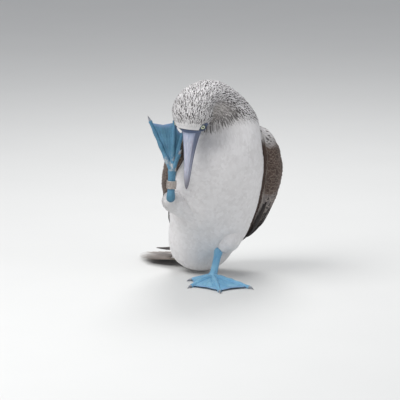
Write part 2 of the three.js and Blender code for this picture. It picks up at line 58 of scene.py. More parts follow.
def smooth(knots, place):
    """The Catmull-Rom line through the knots at fractional places, and its slope."""
    place = np.clip(np.asarray(place, float), 0, len(knots) - 1)
    first = np.minimum(place.astype(int), len(knots) - 2)
    w = (place - first)[..., None]
    padded = np.vstack([2 * knots[:1] - knots[1:2], knots, 2 * knots[-1:] - knots[-2:-1]])
    a, b, c, d = (padded[first + k] for k in range(4))
    out, back = (c - a) / 2, (d - b) / 2
    point = (b * (2 * w**3 - 3 * w**2 + 1) + out * (w**3 - 2 * w**2 + w)
             + c * (3 * w**2 - 2 * w**3) + back * (w**3 - w**2))
    slope = (6 * (b - c) * (w**2 - w) + out * (3 * w**2 - 4 * w + 1) + back * (3 * w**2 - 2 * w))
    return point, slope


def ease(value, low, high):
    """0 below low, 1 above high, and smooth between them."""
    share = np.clip((value - low) / (high - low), 0, 1)
    return share * share * (3 - 2 * share)


def bend(start, middle, end, share):
    """The curve from start to end that middle pulls towards itself."""
    return start * (1 - share) ** 2 + middle * 2 * share * (1 - share) + end * share**2


def closing_in(value, low, width, most):
    """0 below low, then like the drop of a quarter circle over that width, cut at a share below 1."""
    return 1 - np.sqrt(1 - np.clip((value - low) / width, 0, most) ** 2)


def circling(turn, aside, above):
    """Directions at angles round an axis, from aside to above."""
    return np.cos(turn)[..., None] * aside + np.sin(turn)[..., None] * above


class Spine:
    """A smooth line through stations, each with a place, a size [side, back, front] and a left direction."""

    def __init__(self, stations, spread=0.0):
        self.spread = spread
        self.at, self.size, self.left = (np.array([s[i] for s in stations], float) for i in range(3))
        self.last = len(stations) - 1

    def frame(self, station):
        station = np.asarray(station, float)
        at, slope = smooth(self.at, station)
        if self.spread:
            slope = sum(smooth(self.at, station + shift)[1] for shift in (-self.spread, 0, self.spread))
        ahead = unit(slope)
        left = smooth(self.left, station)[0]
        left = unit(left - ahead * dot(left, ahead))
        return at, ahead, left, np.cross(ahead, left), smooth(self.size, station)[0]

    def surface(self, station, angle, height):
        """A point round the line. The angle runs from the left side over the back to the right and front."""
        at, _, left, back, size = self.frame(station)
        depth = np.where(np.sin(angle) > 0, size[..., 1], size[..., 2])
        return (at + left * ((size[..., 0] + height) * np.cos(angle))[..., None]
                + back * ((depth + height) * np.sin(angle))[..., None])


def round_spine(places, radii, left=(1, 0, 0)):
    return Spine([(place, (radius,) * 3, left) for place, radius in zip(places, radii)])


# The body's stations, from the tail's root to the bill, as in the solids.
HEAD_LEFT = (0.815, -0.572, -0.06)
BODY_STATIONS = (
    ((-68, 213, 14), (18, 5, 5), (1, 0.3, 0)),
    ((-34, 156, 20), (26, 8, 8), (1, 0.25, 0)),
    ((-15, 108, 27), (25, 12, 13), (1, 0.12, -0.05)),
    ((-12, 94, 32), (41, 23, 27), (1, 0.05, -0.1)),
    ((-11.5, 78, 42), (55, 34, 46), (1, 0, -0.1)),
    ((-8, 63, 66), (64, 45, 50), (1, 0, -0.1)),
    ((-1.5, 49, 90), (71, 52, 54), (1, 0, -0.1)),
    ((2, 34, 116), (76, 56, 58), (1, 0, -0.1)),
    ((4, 17, 144), (80, 58, 61), (1, 0, -0.1)),
    ((4.5, 1, 172), (82, 60, 62), (1, 0, -0.1)),
    ((5, -16, 200), (82, 60, 62), (1, 0, -0.1)),
    ((7, -32, 228), (80, 57, 60), (1, 0, -0.08)),
    ((12, -45, 254), (73, 50, 55), (1, 0, -0.06)),
    ((17, -52, 277), (60, 43, 45), (1, -0.08, -0.04)),
    ((14, -59, 304), (53, 39, 32), (0.96, -0.2, 0.12)),
    ((2, -68, 329), (41, 38, 26), (0.83, -0.37, 0.4)),
    ((-22, -86, 345), (38, 37, 23), (0.72, -0.48, 0.5)),
    ((-45, -101, 342), (39, 36, 17), (0.78, -0.55, 0.25)),
    ((-55.5, -108, 327), (38.5, 35, 15), HEAD_LEFT),
    ((-58, -109, 312), (32, 28, 18), HEAD_LEFT),
    ((-58.3, -108.8, 303), (25, 23, 20), HEAD_LEFT),
    ((-58.6, -108.6, 296), (17, 16, 17), HEAD_LEFT),
)
BODY = Spine(BODY_STATIONS, spread=0.35)
WING_BED = Spine(BODY_STATIONS, spread=1.0)
TAIL_END, NECK_START, HEAD_START, HEAD_END = 2, 13, 17, 21

# The head's own directions at the bill: ahead along it, to the bird's left and out of the crown.
BILL_BASE = np.array([-58.4, -108.6, 299.0])
BILL_AHEAD = unit(np.array([-0.107, -0.054, -0.993]))
BILL_LEFT = np.array(HEAD_LEFT) - BILL_AHEAD * np.dot(HEAD_LEFT, BILL_AHEAD)
BILL_LEFT = unit(BILL_LEFT)
BILL_UP = np.cross(BILL_AHEAD, BILL_LEFT)


def on_head(ahead, left, up):
    ahead, left, up = (np.asarray(value, float)[..., None] for value in (ahead, left, up))
    return BILL_BASE + ahead * BILL_AHEAD + left * BILL_LEFT + up * BILL_UP


def in_head(points):
    """How far points lie ahead, to the left and up from the bill's base."""
    return tuple((points - BILL_BASE) @ way for way in (BILL_AHEAD, BILL_LEFT, BILL_UP))


EYE_PLACE = (-9.1, 24.1, 8.6)
EYE_RADIUS = 5.6
EYE_GAZE = (0.2, 0.66, 0.72)

LEGS = {
    "left": {
        "thigh": ((22, 14, 102), (27, 3, 76), (20, 1, 63), (13, 2, 56)), "thigh_radii": (36, 26, 17, 9.5),
        "ankle": (11, 2, 56), "base": (0, 0, 8.5), "dorsal": (0, 0, 1), "lump": (9.5, 9.5, 9),
        "toes": {"outer": (52, -74, 2.8), "middle": (-5, -93, 2.8),
                 "inner": (-48, -47, 2.8), "hind": (-38, 2, 2.8)},
        "closing": 3.5, "bow": 2.5, "claw_lift": 1.2, "claw_hook": 1.2,
    },
    "right": {
        "thigh": ((-38, -8, 140), (-67, -25, 151), (-83, -46, 159), (-90, -75, 168.5)),
        "thigh_radii": (34, 23, 18.5, 11),
        "ankle": (-91, -84, 171), "base": (-88, -82, 219), "dorsal": (0.05, 0.98, 0.15), "lump": (8, 6.5, 9),
        "toes": {"outer": (-124, -64, 308), "middle": (-82, -74, 309),
                 "inner": (-68, -74, 286), "hind": (-76, -88, 252)},
        "closing": 6.5, "bow": 3.5, "claw_lift": 1.0, "claw_hook": 3.5,
    },
}
for leg in LEGS.values():
    leg.update({key: np.array(leg[key], float) for key in ("ankle", "base", "dorsal", "lump")})
    leg["dorsal"] = unit(leg["dorsal"])
TARSUS_RADIUS = 6.6
ANKLE_RADIUS = 8.2
TOE_JOINTS = {"outer": 4, "middle": 3, "inner": 2, "hind": 1}
CLAW_LENGTH = 11

# Wings: rows of [station, leading edge, trailing edge] with angles in degrees, and [middle, edge] lifts.
WING_ROWS = {
    "left": (
        ((13.35, 0, 42), (12, 4)), ((12.8, -6, 58), (23, 5)), ((11.6, -10, 66), (34, 6)),
        ((10, -10, 72), (40, 6)), ((8.5, -8, 76), (39, 6)), ((7, -4, 80), (36, 6)),
        ((5.5, 4, 83), (33, 5)), ((4, 14, 86), (30, 5)), ((3, 24, 77), (24, 4)),
        ((2, 32, 66), (15, 4)), ((1, 32, 50), (8, 3)), ((0.3, 36, 48), (3, 2)),
    ),
    "right": (
        ((13.2, 4, 42), (6, 4)), ((12.4, -16, 58), (10, 4)), ((11.3, -23, 66), (13, 4)),
        ((10.2, -15, 71), (15, 4)), ((9, -4, 74), (16, 4)), ((8, 8, 76), (16, 4)),
        ((7, 20, 80), (14, 4)), ((5.5, 30, 83), (12, 4)), ((4, 36, 83), (11, 4)),
        ((3, 38, 77), (10, 4)), ((2, 38, 66), (9, 4)), ((1, 36, 52), (6, 3)), ((0.3, 38, 50), (3, 2)),
    ),
}


class Wing:
    """A folded wing on the body: along runs from its shoulder to its tip, across from its leading edge."""

    def __init__(self, side):
        self.mirror = side == "right"
        self.row = np.array([row for row, _ in WING_ROWS[side]], float)
        self.lift = np.array([lift for _, lift in WING_ROWS[side]], float)
        self.table = np.linspace(0, len(self.row) - 1, 400)
        self.stations = smooth(self.row, self.table)[0][:, 0]

    def along_at(self, station):
        return np.interp(-np.asarray(station, float), -self.stations, self.table)

    def station_at(self, along):
        return smooth(self.row, along)[0][..., 0]

    def raw(self, along, across, raise_by):
        row = smooth(self.row, along)[0]
        degrees = row[..., 1] + (row[..., 2] - row[..., 1]) * across
        angle = np.radians(180 - degrees if self.mirror else degrees)
        return WING_BED.surface(row[..., 0], angle, raise_by)

    def surface(self, along, across, height):
        """A point over the wing's outside, a height above the solid's vane bases."""
        middle, edge = np.moveaxis(smooth(self.lift, along)[0], -1, 0)
        share = np.clip(across, 0, 1)
        lift = edge + (middle - edge) * np.maximum(np.sin(np.pi * share**0.6), 0) ** 0.8
        station = self.station_at(along)
        low_end = ease(station, 1, 2.4) * (1 - ease(station, 3.2, 5))
        lift = lift * (0.1 + 0.9 * ease(along, -0.2, 1.2)) * (1 - 0.5 * low_end)
        return self.raw(along, across, lift + height)

    def inside(self, along, across):
        """The wing's inside: sunk into the trunk, then clear of the tail."""
        beyond = ease(-self.station_at(along), -3, -1.6)
        return self.raw(along, across, -4 + 5.2 * beyond)


# Meshes


def grid_faces(rows, columns, wrap=False):
    i, j = np.meshgrid(np.arange(rows - 1), np.arange(columns if wrap else columns - 1), indexing="ij")
    a = i * columns + j
    b = i * columns + (j + 1) % columns
    return np.stack([a, b, b + columns, a + columns], -1).reshape(-1, 4)


class Shape:
    """Points, faces and the values that the finishes read at each point."""

    def __init__(self, points, quads, triangles=None, uv=None, normals=None, **values):
        self.points = np.asarray(points, float).reshape(-1, 3)
        self.quads = np.asarray(quads).reshape(-1, 4)
        self.triangles = np.zeros((0, 3), int) if triangles is None else np.asarray(triangles).reshape(-1, 3)
        self.uv = uv
        self.normals = normals
        self.values = {key: np.broadcast_to(value, len(self.points)).astype(float)
                       for key, value in values.items()}


def merged(shapes):
    offsets = np.cumsum([0] + [len(s.points) for s in shapes])
    keys = sorted({key for s in shapes for key in s.values})
    values = {key: np.concatenate([s.values.get(key, np.zeros(len(s.points))) for s in shapes])
              for key in keys}
    return Shape(
        np.vstack([s.points for s in shapes]),
        np.vstack([s.quads + o for s, o in zip(shapes, offsets)]),
        np.vstack([s.triangles + o for s, o in zip(shapes, offsets)]),
        uv=None if shapes[0].uv is None else np.vstack([s.uv for s in shapes]),
        normals=None if shapes[0].normals is None else np.vstack([s.normals for s in shapes]),
        **values)


def lattice(first, last, rows, columns):
    """Places from first to last and angles all round, for a closed form."""
    return np.meshgrid(np.linspace(first, last, rows), np.linspace(0, TURN, columns + 1)[:-1], indexing="ij")


def ball(edge, rows, columns):
    """Points of a ball of radius 1 in rings, which start and end at an edge angle off its poles."""
    u, v = lattice(edge, math.pi - edge, rows, columns)
    return np.stack([np.sin(u) * np.cos(v), np.sin(u) * np.sin(v), np.cos(u)], -1), v


def tube_shape(rings, **values):
    """A closed skin over rings of points, with a fan at each end."""
    rows, columns = rings.shape[:2]
    points = np.vstack([rings.reshape(-1, 3), rings[0].mean(0), rings[-1].mean(0)])
    j = np.arange(columns)
    after = (j + 1) % columns
    last = (rows - 1) * columns
    start = np.stack([np.full(columns, len(points) - 2), after, j], -1)
    end = np.stack([np.full(columns, len(points) - 1), last + j, last + after], -1)
    for key, value in values.items():
        value = np.broadcast_to(value, (rows, columns)).ravel()
        values[key] = np.append(value, value[[0, -1]])
    return Shape(points, grid_faces(rows, columns, wrap=True), np.vstack([start, end]), **values)


def piece(name, shape, material, replaces=()):
    """A Blender object from a shape, which rides on the body and has one finish."""
    mesh = bpy.data.meshes.new(name)
    mesh.vertices.add(len(shape.points))
    mesh.vertices.foreach_set("co", (shape.points * MM).astype(np.float32).ravel())
    corners = np.concatenate([shape.quads.ravel(), shape.triangles.ravel()]).astype(np.int32)
    starts = np.concatenate([np.arange(len(shape.quads)) * 4,
                             len(shape.quads) * 4 + np.arange(len(shape.triangles)) * 3])
    mesh.loops.add(len(corners))
    mesh.loops.foreach_set("vertex_index", corners)
    mesh.polygons.add(len(starts))
    mesh.polygons.foreach_set("loop_start", starts.astype(np.int32))
    mesh.update(calc_edges=True)
    mesh.validate()
    for key, values in shape.values.items():
        attribute = mesh.attributes.new(key, "FLOAT", "POINT")
        attribute.data.foreach_set("value", values.astype(np.float32))
    if shape.uv is not None:
        layer = mesh.uv_layers.new(name="OFBake")
        layer.data.foreach_set("uv", shape.uv[corners].astype(np.float32).ravel())
    mesh.polygons.foreach_set("use_smooth", np.ones(len(mesh.polygons), bool))
    if shape.normals is not None:
        mesh.normals_split_custom_set_from_vertices(shape.normals.tolist())
    mesh.materials.append(material)
    made = bpy.data.objects.new(name, mesh)
    bpy.context.scene.collection.objects.link(made)
    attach(made, "root")
    if replaces:
        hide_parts(*replaces)


# Finishes


def srgb(red, green, blue):
    """A colour as the eye names it, 0 to 255, in the renderer's linear values."""
    share = np.array([red, green, blue]) / 255
    linear = np.where(share <= 0.04045, share / 12.92, ((share + 0.055) / 1.055) ** 2.4)
    return (*linear.tolist(), 1.0)


# The colour sockets of a mixing node, which share their names with its number sockets
MIX_A, MIX_B, MIX_RESULT = 6, 7, 2


class Finish:
    """A node material, with short calls for the nodes that it needs."""

    def __init__(self, name, **fixed):
        self.material = bpy.data.materials.new(name)
        self.material.use_nodes = True
        self.tree = self.material.node_tree
        self.shader = self.tree.nodes["Principled BSDF"]
        for key, value in fixed.items():
            self.shader.inputs[key.replace("_", " ")].default_value = value

    def put(self, socket, value):
        if isinstance(value, bpy.types.NodeSocket):
            self.tree.links.new(value, socket)
        else:
            socket.default_value = value

    def node(self, kind, *inputs, **settings):
        made = self.tree.nodes.new(kind)
        for key, value in settings.items():
            setattr(made, key, value)
        for socket, value in zip(made.inputs, inputs):
            if value is not None:
                self.put(socket, value)
        return made

    def value(self, name):
        return self.node("ShaderNodeAttribute", attribute_name=name).outputs["Fac"]

    def math(self, operation, a, b=None, clamp=False):
        return self.node("ShaderNodeMath", a, b, operation=operation, use_clamp=clamp).outputs[0]

    def times(self, a, b, clamp=False):
        return self.math("MULTIPLY", a, b, clamp)

    def plus(self, a, b):
        return self.math("ADD", a, b)

    def minus(self, a, b, clamp=False):
        return self.math("SUBTRACT", a, b, clamp)

    def step(self, value, low, high):
        made = self.node("ShaderNodeMapRange", value, low, high, interpolation_type="SMOOTHSTEP")
        return made.outputs["Result"]

    def mix(self, share, a, b):
        made = self.node("ShaderNodeMix", share, data_type="RGBA")
        self.put(made.inputs[MIX_A], a)
        self.put(made.inputs[MIX_B], b)
        return made.outputs[MIX_RESULT]

    def place(self):
        return self.node("ShaderNodeTexCoord").outputs["Object"]

    def stretched(self, x, y, z=0.0):
        return self.node("ShaderNodeCombineXYZ", x, y, z).outputs[0]

    def noise(self, scale, detail=2.0, where=None):
        return self.node("ShaderNodeTexNoise", where or self.place(), None, scale, detail).outputs["Fac"]

    def grain(self, detail, along, lengthwise, turn, crosswise):
        """Noise with its own scales along a piece and round it."""
        where = self.stretched(self.times(along, lengthwise), self.times(turn, crosswise))
        return self.noise(1.0, detail, where)

    def cells(self, scale):
        made = self.node("ShaderNodeTexVoronoi", self.place(), None, scale, feature="DISTANCE_TO_EDGE")
        return made.outputs["Distance"]

    def colour(self, value):
        self.put(self.shader.inputs["Base Color"], value)

    def relief(self, height, strength, distance):
        made = self.node("ShaderNodeBump", strength, distance)
        self.put(made.inputs["Height"], height)
        self.put(self.shader.inputs["Normal"], made.outputs[0])


WHITE = srgb(226, 224, 224)
WHITE_SHADE = srgb(206, 203, 202)
STREAK = srgb(50, 43, 43)
BROWN = srgb(92, 76, 68)
BROWN_DEEP = srgb(62, 50, 45)
BLACK_BROWN = srgb(38, 33, 33)
FRINGE = srgb(176, 164, 152)
BUFF = srgb(176, 162, 144)
SLATE = srgb(92, 106, 134)
SLATE_DARK = srgb(44, 50, 68)


def plumage_finish():
    """White, streaked or brown feathers, by the values at each feather. Bare face skin shows on the skin."""
    f = Finish("plumage", Roughness=0.82, Specular_IOR_Level=0.18, Sheen_Weight=0.12, Sheen_Roughness=0.5)
    along, across, seed = f.value("along"), f.value("across"), f.value("seed")
    side = f.math("ABSOLUTE", across)
    blotch = f.noise(60, 3)
    white = f.mix(f.times(blotch, seed), WHITE, WHITE_SHADE)
    # The throat's buff: partly a buff tint, partly painted shade under the head.
    white = f.mix(f.times(f.value("buff"), 0.8), white, BUFF)
    brown = f.mix(f.plus(f.times(seed, 0.6), f.times(blotch, 0.4)),
                  BROWN, BROWN_DEEP)
    brown = f.mix(f.value("black"), brown, BLACK_BROWN)
    ground = f.mix(f.value("brown"), white, brown)
    reach = f.minus(0.74, f.times(along, 0.18))
    centre = f.times(f.minus(reach, side), 5.0, clamp=True)
    clear_tip = f.minus(1.0, f.step(along, 0.86, 1.0))
    streak = f.times(f.times(centre, clear_tip), f.value("streak"), clamp=True)
    marked = f.mix(streak, ground, STREAK)
    rim = f.math("MAXIMUM", f.step(side, 0.62, 0.98), f.step(along, 0.8, 0.97))
    marked = f.mix(f.times(rim, f.value("fringe"), clamp=True), marked, FRINGE)
    shaft = f.minus(1.0, f.step(side, 0.02, 0.09))
    marked = f.mix(f.times(shaft, f.value("shaft"), clamp=True), marked, BUFF)
    bare = f.mix(f.noise(220, 4), SLATE, srgb(70, 82, 108))
    bare = f.mix(f.value("dark"), bare, SLATE_DARK)
    f.colour(f.mix(f.value("bare"), marked, bare))
    barb = f.math("SINE", f.times(f.plus(along, f.times(side, 0.35)), 90.0))
    f.relief(f.plus(f.times(barb, 0.25), f.noise(900, 2)), 0.25, 0.0004)
    return f.material


def bill_finish():
    """Satin horn, pale blue-grey over the ridge, with painted shade along the sides, in the groove and along
    the mouth line, and a darker tip.
    """
    f = Finish("bill_horn", Roughness=0.42, Specular_IOR_Level=0.45, Subsurface_Weight=0.08,
               Subsurface_Scale=0.003)
    along, turn, edge = f.value("along"), f.value("turn"), f.value("edge")
    streaks = f.grain(4, along, 9.0, turn, 16.0)
    colour = f.mix(f.step(streaks, 0.3, 0.7), srgb(186, 188, 202), srgb(152, 154, 172))
    base = f.minus(1.0, f.step(along, 0.04, 0.3))
    colour = f.mix(f.times(base, 0.6), colour, srgb(132, 150, 184))
    fading = f.minus(1.0, f.step(along, 0.25, 0.7))
    # Painted shade along the bill's sides, deepest towards its base.
    flank = f.times(f.value("flank"), f.plus(0.3, f.times(fading, 0.65)))
    colour = f.mix(flank, colour, srgb(88, 98, 122))
    colour = f.mix(f.times(f.value("pale"), fading), colour, srgb(168, 180, 200))
    colour = f.mix(f.step(along, 0.66, 1.0), colour, srgb(112, 110, 118))
    # Painted shade in the groove.
    colour = f.mix(f.times(f.value("groove"), 0.6), colour, srgb(84, 90, 114))
    # Painted shade along the mouth line, where the two halves meet.
    colour = f.mix(f.times(edge, 0.7), colour, srgb(74, 78, 100))
    f.colour(colour)
    fine = f.grain(3, along, 40.0, turn, 60.0)
    f.relief(f.plus(fine, f.times(streaks, 0.8)), 0.3, 0.0005)
    return f.material


def foot_finish(name, base, shade, crease_shade):
    """Scaly skin: a base colour with broad blotches, painted shade in the creases and fold lines, and pale
    worn dirt.
    """
    f = Finish(name, Roughness=0.55, Specular_IOR_Level=0.35, Subsurface_Weight=0.06, Subsurface_Scale=0.002)
    blotch = f.step(f.noise(55, 4), 0.3, 0.72)
    colour = f.mix(blotch, base, shade)
    scales = f.cells(620)
    # Painted shade in the creases between the scales.
    colour = f.mix(f.minus(0.45, f.times(scales, 3.0), clamp=True), colour, crease_shade)
    folds = f.grain(3, f.value("fan"), 26.0, f.value("along"), 3.0)
    # Painted shade along the fold lines.
    colour = f.mix(f.times(f.step(folds, 0.52, 0.68), 0.55), colour, crease_shade)
    colour = f.mix(f.times(f.value("rim"), 0.4), colour, srgb(132, 146, 186))
    dirt = f.times(f.value("dirt"), f.step(f.noise(130, 5), 0.4, 0.66))
    colour = f.mix(dirt, colour, srgb(186, 184, 180))
    f.colour(colour)
    f.relief(f.plus(f.times(scales, 1.6), f.times(folds, 0.7)), 0.55, 0.0007)
    return f.material


def claw_finish():
    f = Finish("claw_horn", Roughness=0.35, Specular_IOR_Level=0.5)
    bands = f.grain(3, f.value("along"), 6.0, f.value("turn"), 4.0)
    colour = f.mix(f.step(bands, 0.3, 0.7), srgb(150, 154, 160), srgb(112, 116, 124))
    f.colour(f.mix(f.step(f.value("along"), 0.6, 1.0), colour, srgb(88, 86, 88)))
    f.relief(bands, 0.2, 0.0003)
    return f.material


def eye_finish():
    """A wet eye: a small black pupil in a pale iris with fine spokes and a dark rim."""
    f = Finish("eye", Roughness=0.06, Coat_Weight=1.0, Coat_Roughness=0.03)
    away, turn = f.value("away"), f.value("turn")
    spokes = f.noise(1.0, 3, f.stretched(f.times(f.math("SINE", turn), 9.0),
                                         f.times(f.math("COSINE", turn), 9.0), away))
    iris = f.mix(f.step(spokes, 0.35, 0.65), srgb(206, 212, 178), srgb(168, 180, 152))
    iris = f.mix(f.step(away, 0.55, 0.76), iris, srgb(104, 120, 108))
    colour = f.mix(f.step(away, 0.25, 0.29), srgb(6, 6, 8), iris)
    f.colour(f.mix(f.step(away, 0.78, 0.86), colour, srgb(40, 44, 54)))
    return f.material


def lid_finish():
    f = Finish("lid_skin", Roughness=0.5, Specular_IOR_Level=0.4)
    f.colour(f.mix(f.noise(500, 4), SLATE_DARK, srgb(74, 86, 112)))
    f.relief(f.cells(1500), 0.4, 0.0003)
    return f.material


def band_finish():
    """Worn bare metal: dull, scratched round its length, with grime in patches and a painted highlight along
    its upper rim.
    """
    f = Finish("band_metal", Metallic=0.85, Specular_IOR_Level=0.5)
    scratches = f.grain(5, f.value("along"), 60.0, f.value("turn"), 3.0)
    grime = f.step(f.noise(240, 5), 0.4, 0.62)
    colour = f.mix(f.step(scratches, 0.35, 0.65), srgb(196, 190, 184), srgb(164, 156, 150))
    worn = f.mix(f.times(grime, 0.35), colour, srgb(140, 124, 118))
    # A painted highlight: the upper rim is paler.
    f.colour(f.mix(f.step(f.value("along"), 0.93, 0.99), worn, srgb(216, 212, 206)))
    rough = f.plus(0.38, f.times(grime, 0.3))
    f.put(f.shader.inputs["Roughness"], rough)
    f.relief(f.plus(scratches, f.noise(500, 3)), 0.25, 0.0003)
    return f.material


PLUMAGE = plumage_finish()
BILL_HORN = bill_finish()
# Both feet have one skin. The standing foot's copy is the lit one, and the raised foot's copy is painted
# darker as painted shade.
STANDING_SKIN_LIT = foot_finish("foot_skin_lit", srgb(140, 188, 210), srgb(116, 170, 202), srgb(78, 132, 176))
RAISED_SKIN_SHADED = foot_finish("foot_skin_painted_shade", srgb(92, 142, 170), srgb(76, 122, 142), srgb(50, 84, 116))
CLAW_HORN = claw_finish()
EYE_WET = eye_finish()
LID_SKIN = lid_finish()
BAND_METAL = band_finish()


# Markings, as values from 0 to 1 at a place of the body. Skin and feathers share them.


def from_eye(ahead, up):
    return np.hypot(ahead - EYE_PLACE[0], up - EYE_PLACE[2])


def from_gape(ahead, up):
    return np.abs(up + 3.4 + 0.12 * (ahead + 6))


def bare_face(points, station, grow=0.0):
    """Where the face is bare: round the eye, in front of it to the bill, along the gape and on the chin.

    grow widens the bare skin by so many mm, which shortens the feathers at its edge."""
    ahead, _, up = in_head(points)
    ring = 1 - ease(from_eye(ahead, up), 7.4 + grow, 8.2 + grow)
    top = np.interp(ahead, [-9, 2], [EYE_PLACE[2] + 4, 10]) + grow
    lore = (1 - ease(up, top - 0.4, top + 0.4)) * ease(ahead, -7.9 - grow, -7.1 - grow)
    half = np.interp(ahead, [-19, -7], [0, 8]) + grow
    gape = (1 - ease(np.abs(up + 3), half - 0.4, half + 0.4)) * ease(ahead, -19 - grow, -18 - grow)
    brow = ease(ahead, -2.2 - grow, -1.4 - grow)
    return np.maximum.reduce([ring, lore, gape, brow]) * ease(station, 17.6, 18.2)


def body_marks(station, angle, points):
    """Streaks, brown and buff on the neck, mantle and rump. The buff on the throat is partly a buff tint and
    partly painted shade under the bowed head.
    """
    back = np.sin(angle)
    forehead = ease(station, 18.9, 19.7)
    crown = ease(station - 0.9 * np.maximum(-back, 0), 13.4, 14.2) * (1 - forehead)
    nape = 0.8 * ease(station, 11.4, 13.2) * ease(back, 0.1, 0.6) * (1 - forehead)
    throat = ease(-back, 0.55, 0.9) * ease(station, 14, 16) * (1 - ease(station, 18.5, 19.5))
    streak = np.maximum(crown, nape) * (1 - 0.3 * throat)
    mantle = ease(back, 0.35, 0.6) * ease(station, 4.4, 5.6) * (1 - ease(station, 11.6, 12.8))
    cover = ease(back, 0.3, 0.6) * (1 - ease(station, 2.6, 3.6))
    return {
        "streak": streak + 0.5 * mantle,
        "brown": np.clip(mantle + 0.6 * cover, 0, 1),
        "fringe": 0.45 * mantle + 0.6 * cover,
        # The throat's buff is partly a buff tint and partly painted shade where the bowed head hangs over the
        # breast.
        "buff": 0.35 * throat,
        "bare": bare_face(points, station),
    }


# Feathers


VANE_ROWS = np.array([0, 0.3, 0.6, 0.85, 1.0])
VANE_OUTLINE = np.array([0.55, 0.92, 1.0, 0.74, 0.14])
VANE_COLUMNS = np.array([-1.0, 0.0, 1.0])
BAKE_PATCH = 0.003


def shingles(surface, u, v, length, width, low, high, heading, softness, bake, skew=0.12, **marks):
    """Small overlapping feathers that follow a surface. Roots lie at u, v and tips run along u by heading."""
    def each(values):
        return values[:, None, None]

    count = len(u)
    turn = rng.normal(0, skew, count)
    nudge = 1e-3
    root = surface(u, v, low)
    per_u = np.maximum(np.linalg.norm(surface(u + nudge, v, low) - root, axis=1) / nudge, 6.0)
    per_v = np.maximum(np.linalg.norm(surface(u, v + nudge, low) - root, axis=1) / nudge, 4.0)
    along, across = VANE_ROWS[None, :, None], VANE_COLUMNS[None, None, :]
    x = along * each(length)
    y = across * VANE_OUTLINE[None, :, None] * each(width) / 2
    cos, sin = each(np.cos(turn)), each(np.sin(turn))
    uu = each(u) + heading * (x * cos - y * sin) / each(per_u)
    vv = each(v) + (x * sin + y * cos) / each(per_v)
    rise = each(low) + each(high - low) * along**0.7 + 0.06 * each(width) * (1 - across**2)
    points = surface(uu, vv, rise)
    over_u = surface(uu + nudge, vv, rise) - points
    over_v = surface(uu, vv + nudge, rise) - points
    outward = surface(uu, vv, rise + 1) - points
    normals = unit(np.cross(over_u, over_v))
    normals = normals * np.sign(dot(normals, outward))
    rows, columns = len(VANE_ROWS), len(VANE_COLUMNS)
    faces = grid_faces(rows, columns)
    a, b, d = points.reshape(count, -1, 3)[:, faces[0][[0, 1, 3]]].transpose(1, 0, 2)
    if dot(np.cross(b - a, d - a), normals[:, 0, 0]).sum() < 0:
        faces = faces[:, ::-1]
    faces = (faces[None] + each(np.arange(count) * rows * columns)).reshape(-1, 4)
    blended = unit(softness * normals + (1 - softness) * own_normals(points, normals))
    patch = np.stack(np.broadcast_arrays(across / 2, along - 0.5), -1)
    uv = bake[:, None, None, :] + BAKE_PATCH * patch
    marks = {key: each(value) for key, value in marks.items()}
    marks.update(along=along, across=across, seed=each(rng.random(count)))
    marks = {key: np.broadcast_to(value, uu.shape).ravel() for key, value in marks.items()}
    return Shape(points, faces, uv=uv.reshape(-1, 2), normals=blended.reshape(-1, 3), **marks)


def own_normals(points, outward):
    """The normals of each feather's own grid, on the side that faces outward."""
    normals = unit(np.cross(np.gradient(points, axis=1), np.gradient(points, axis=2)))
    return normals * np.sign(dot(normals, outward))


ROW_SAMPLES = 97
ROOT_NUDGE = 0.28


def staggered_roots(surface, spacing, start, stop, closed=True):
    """Roots in staggered rows along u, with gaps [along, across] in mm given at each u.

    A closed surface has angles for v, and an open one has shares. Rows thin out where they crowd."""
    found_u, found_v, gaps = [], [], []
    u = start
    row = 0
    v = np.linspace(0, TURN if closed else 1, ROW_SAMPLES)
    while u < stop:
        along_gap, across_gap = spacing(u)
        line = surface(np.full(ROW_SAMPLES, u), v, 0)
        steps = np.linalg.norm(surface(np.full(ROW_SAMPLES, u + 0.01), v, 0) - line, axis=1)
        speed = np.quantile(steps, 0.9) / 0.01
        arc = np.append(0, np.cumsum(np.linalg.norm(np.diff(line, axis=0), axis=1)))
        count = max(int(arc[-1] / across_gap), 3)
        shift = 0.5 * (row % 2) + rng.uniform(-0.15, 0.15, count)
        places = (np.arange(count) + shift) / count * arc[-1]
        places = places % arc[-1] if closed else np.clip(places, 0, arc[-1])
        share = np.interp(places, arc, steps) / 0.01 / speed
        kept = ((share > 0.55) | (row % 2 == 0)) & ((share > 0.28) | (row % 4 == 0))
        nudges = rng.uniform(-ROOT_NUDGE, ROOT_NUDGE, count) * along_gap / speed
        found_v.append(np.interp(places, arc, v)[kept])
        found_u.append((u + nudges)[kept])
        gaps.append(np.tile([along_gap, across_gap], (kept.sum(), 1)))
        u += along_gap / speed
        row += 1
    return np.concatenate(found_u), np.concatenate(found_v), np.vstack(gaps)


# The gap between feathers and the coat's depth along the body, in mm
COAT_STATIONS = (2, 5, 12, 13.5, 15, 17, 18.5, 19.6, 20.4, 21)
COAT_GAPS = (5.5, 5.8, 5.4, 4.6, 4.2, 3.7, 3.4, 2.6, 1.9, 1.6)
COAT_DEPTHS = (3, 3.2, 3.2, 2.9, 2.5, 2.2, 1.9, 1.4, 0.8, 0.6)


def coat_gap(station):
    gap = np.interp(station, COAT_STATIONS, COAT_GAPS)
    slender = 1 + 0.28 * ease(station, 12, 14) * (1 - ease(station, 19, 20))
    return gap * slender, gap * 0.95 / slender


def coat_depth(station, angle):
    throat = ease(-np.sin(angle), 0.4, 0.8) * ease(station, 12.5, 13.4) * (1 - ease(station, 16.5, 17.5))
    return np.interp(station, COAT_STATIONS, COAT_DEPTHS) * (1 - 0.6 * throat)


def thigh_spine(leg):
    return round_spine(leg["thigh"], leg["thigh_radii"])


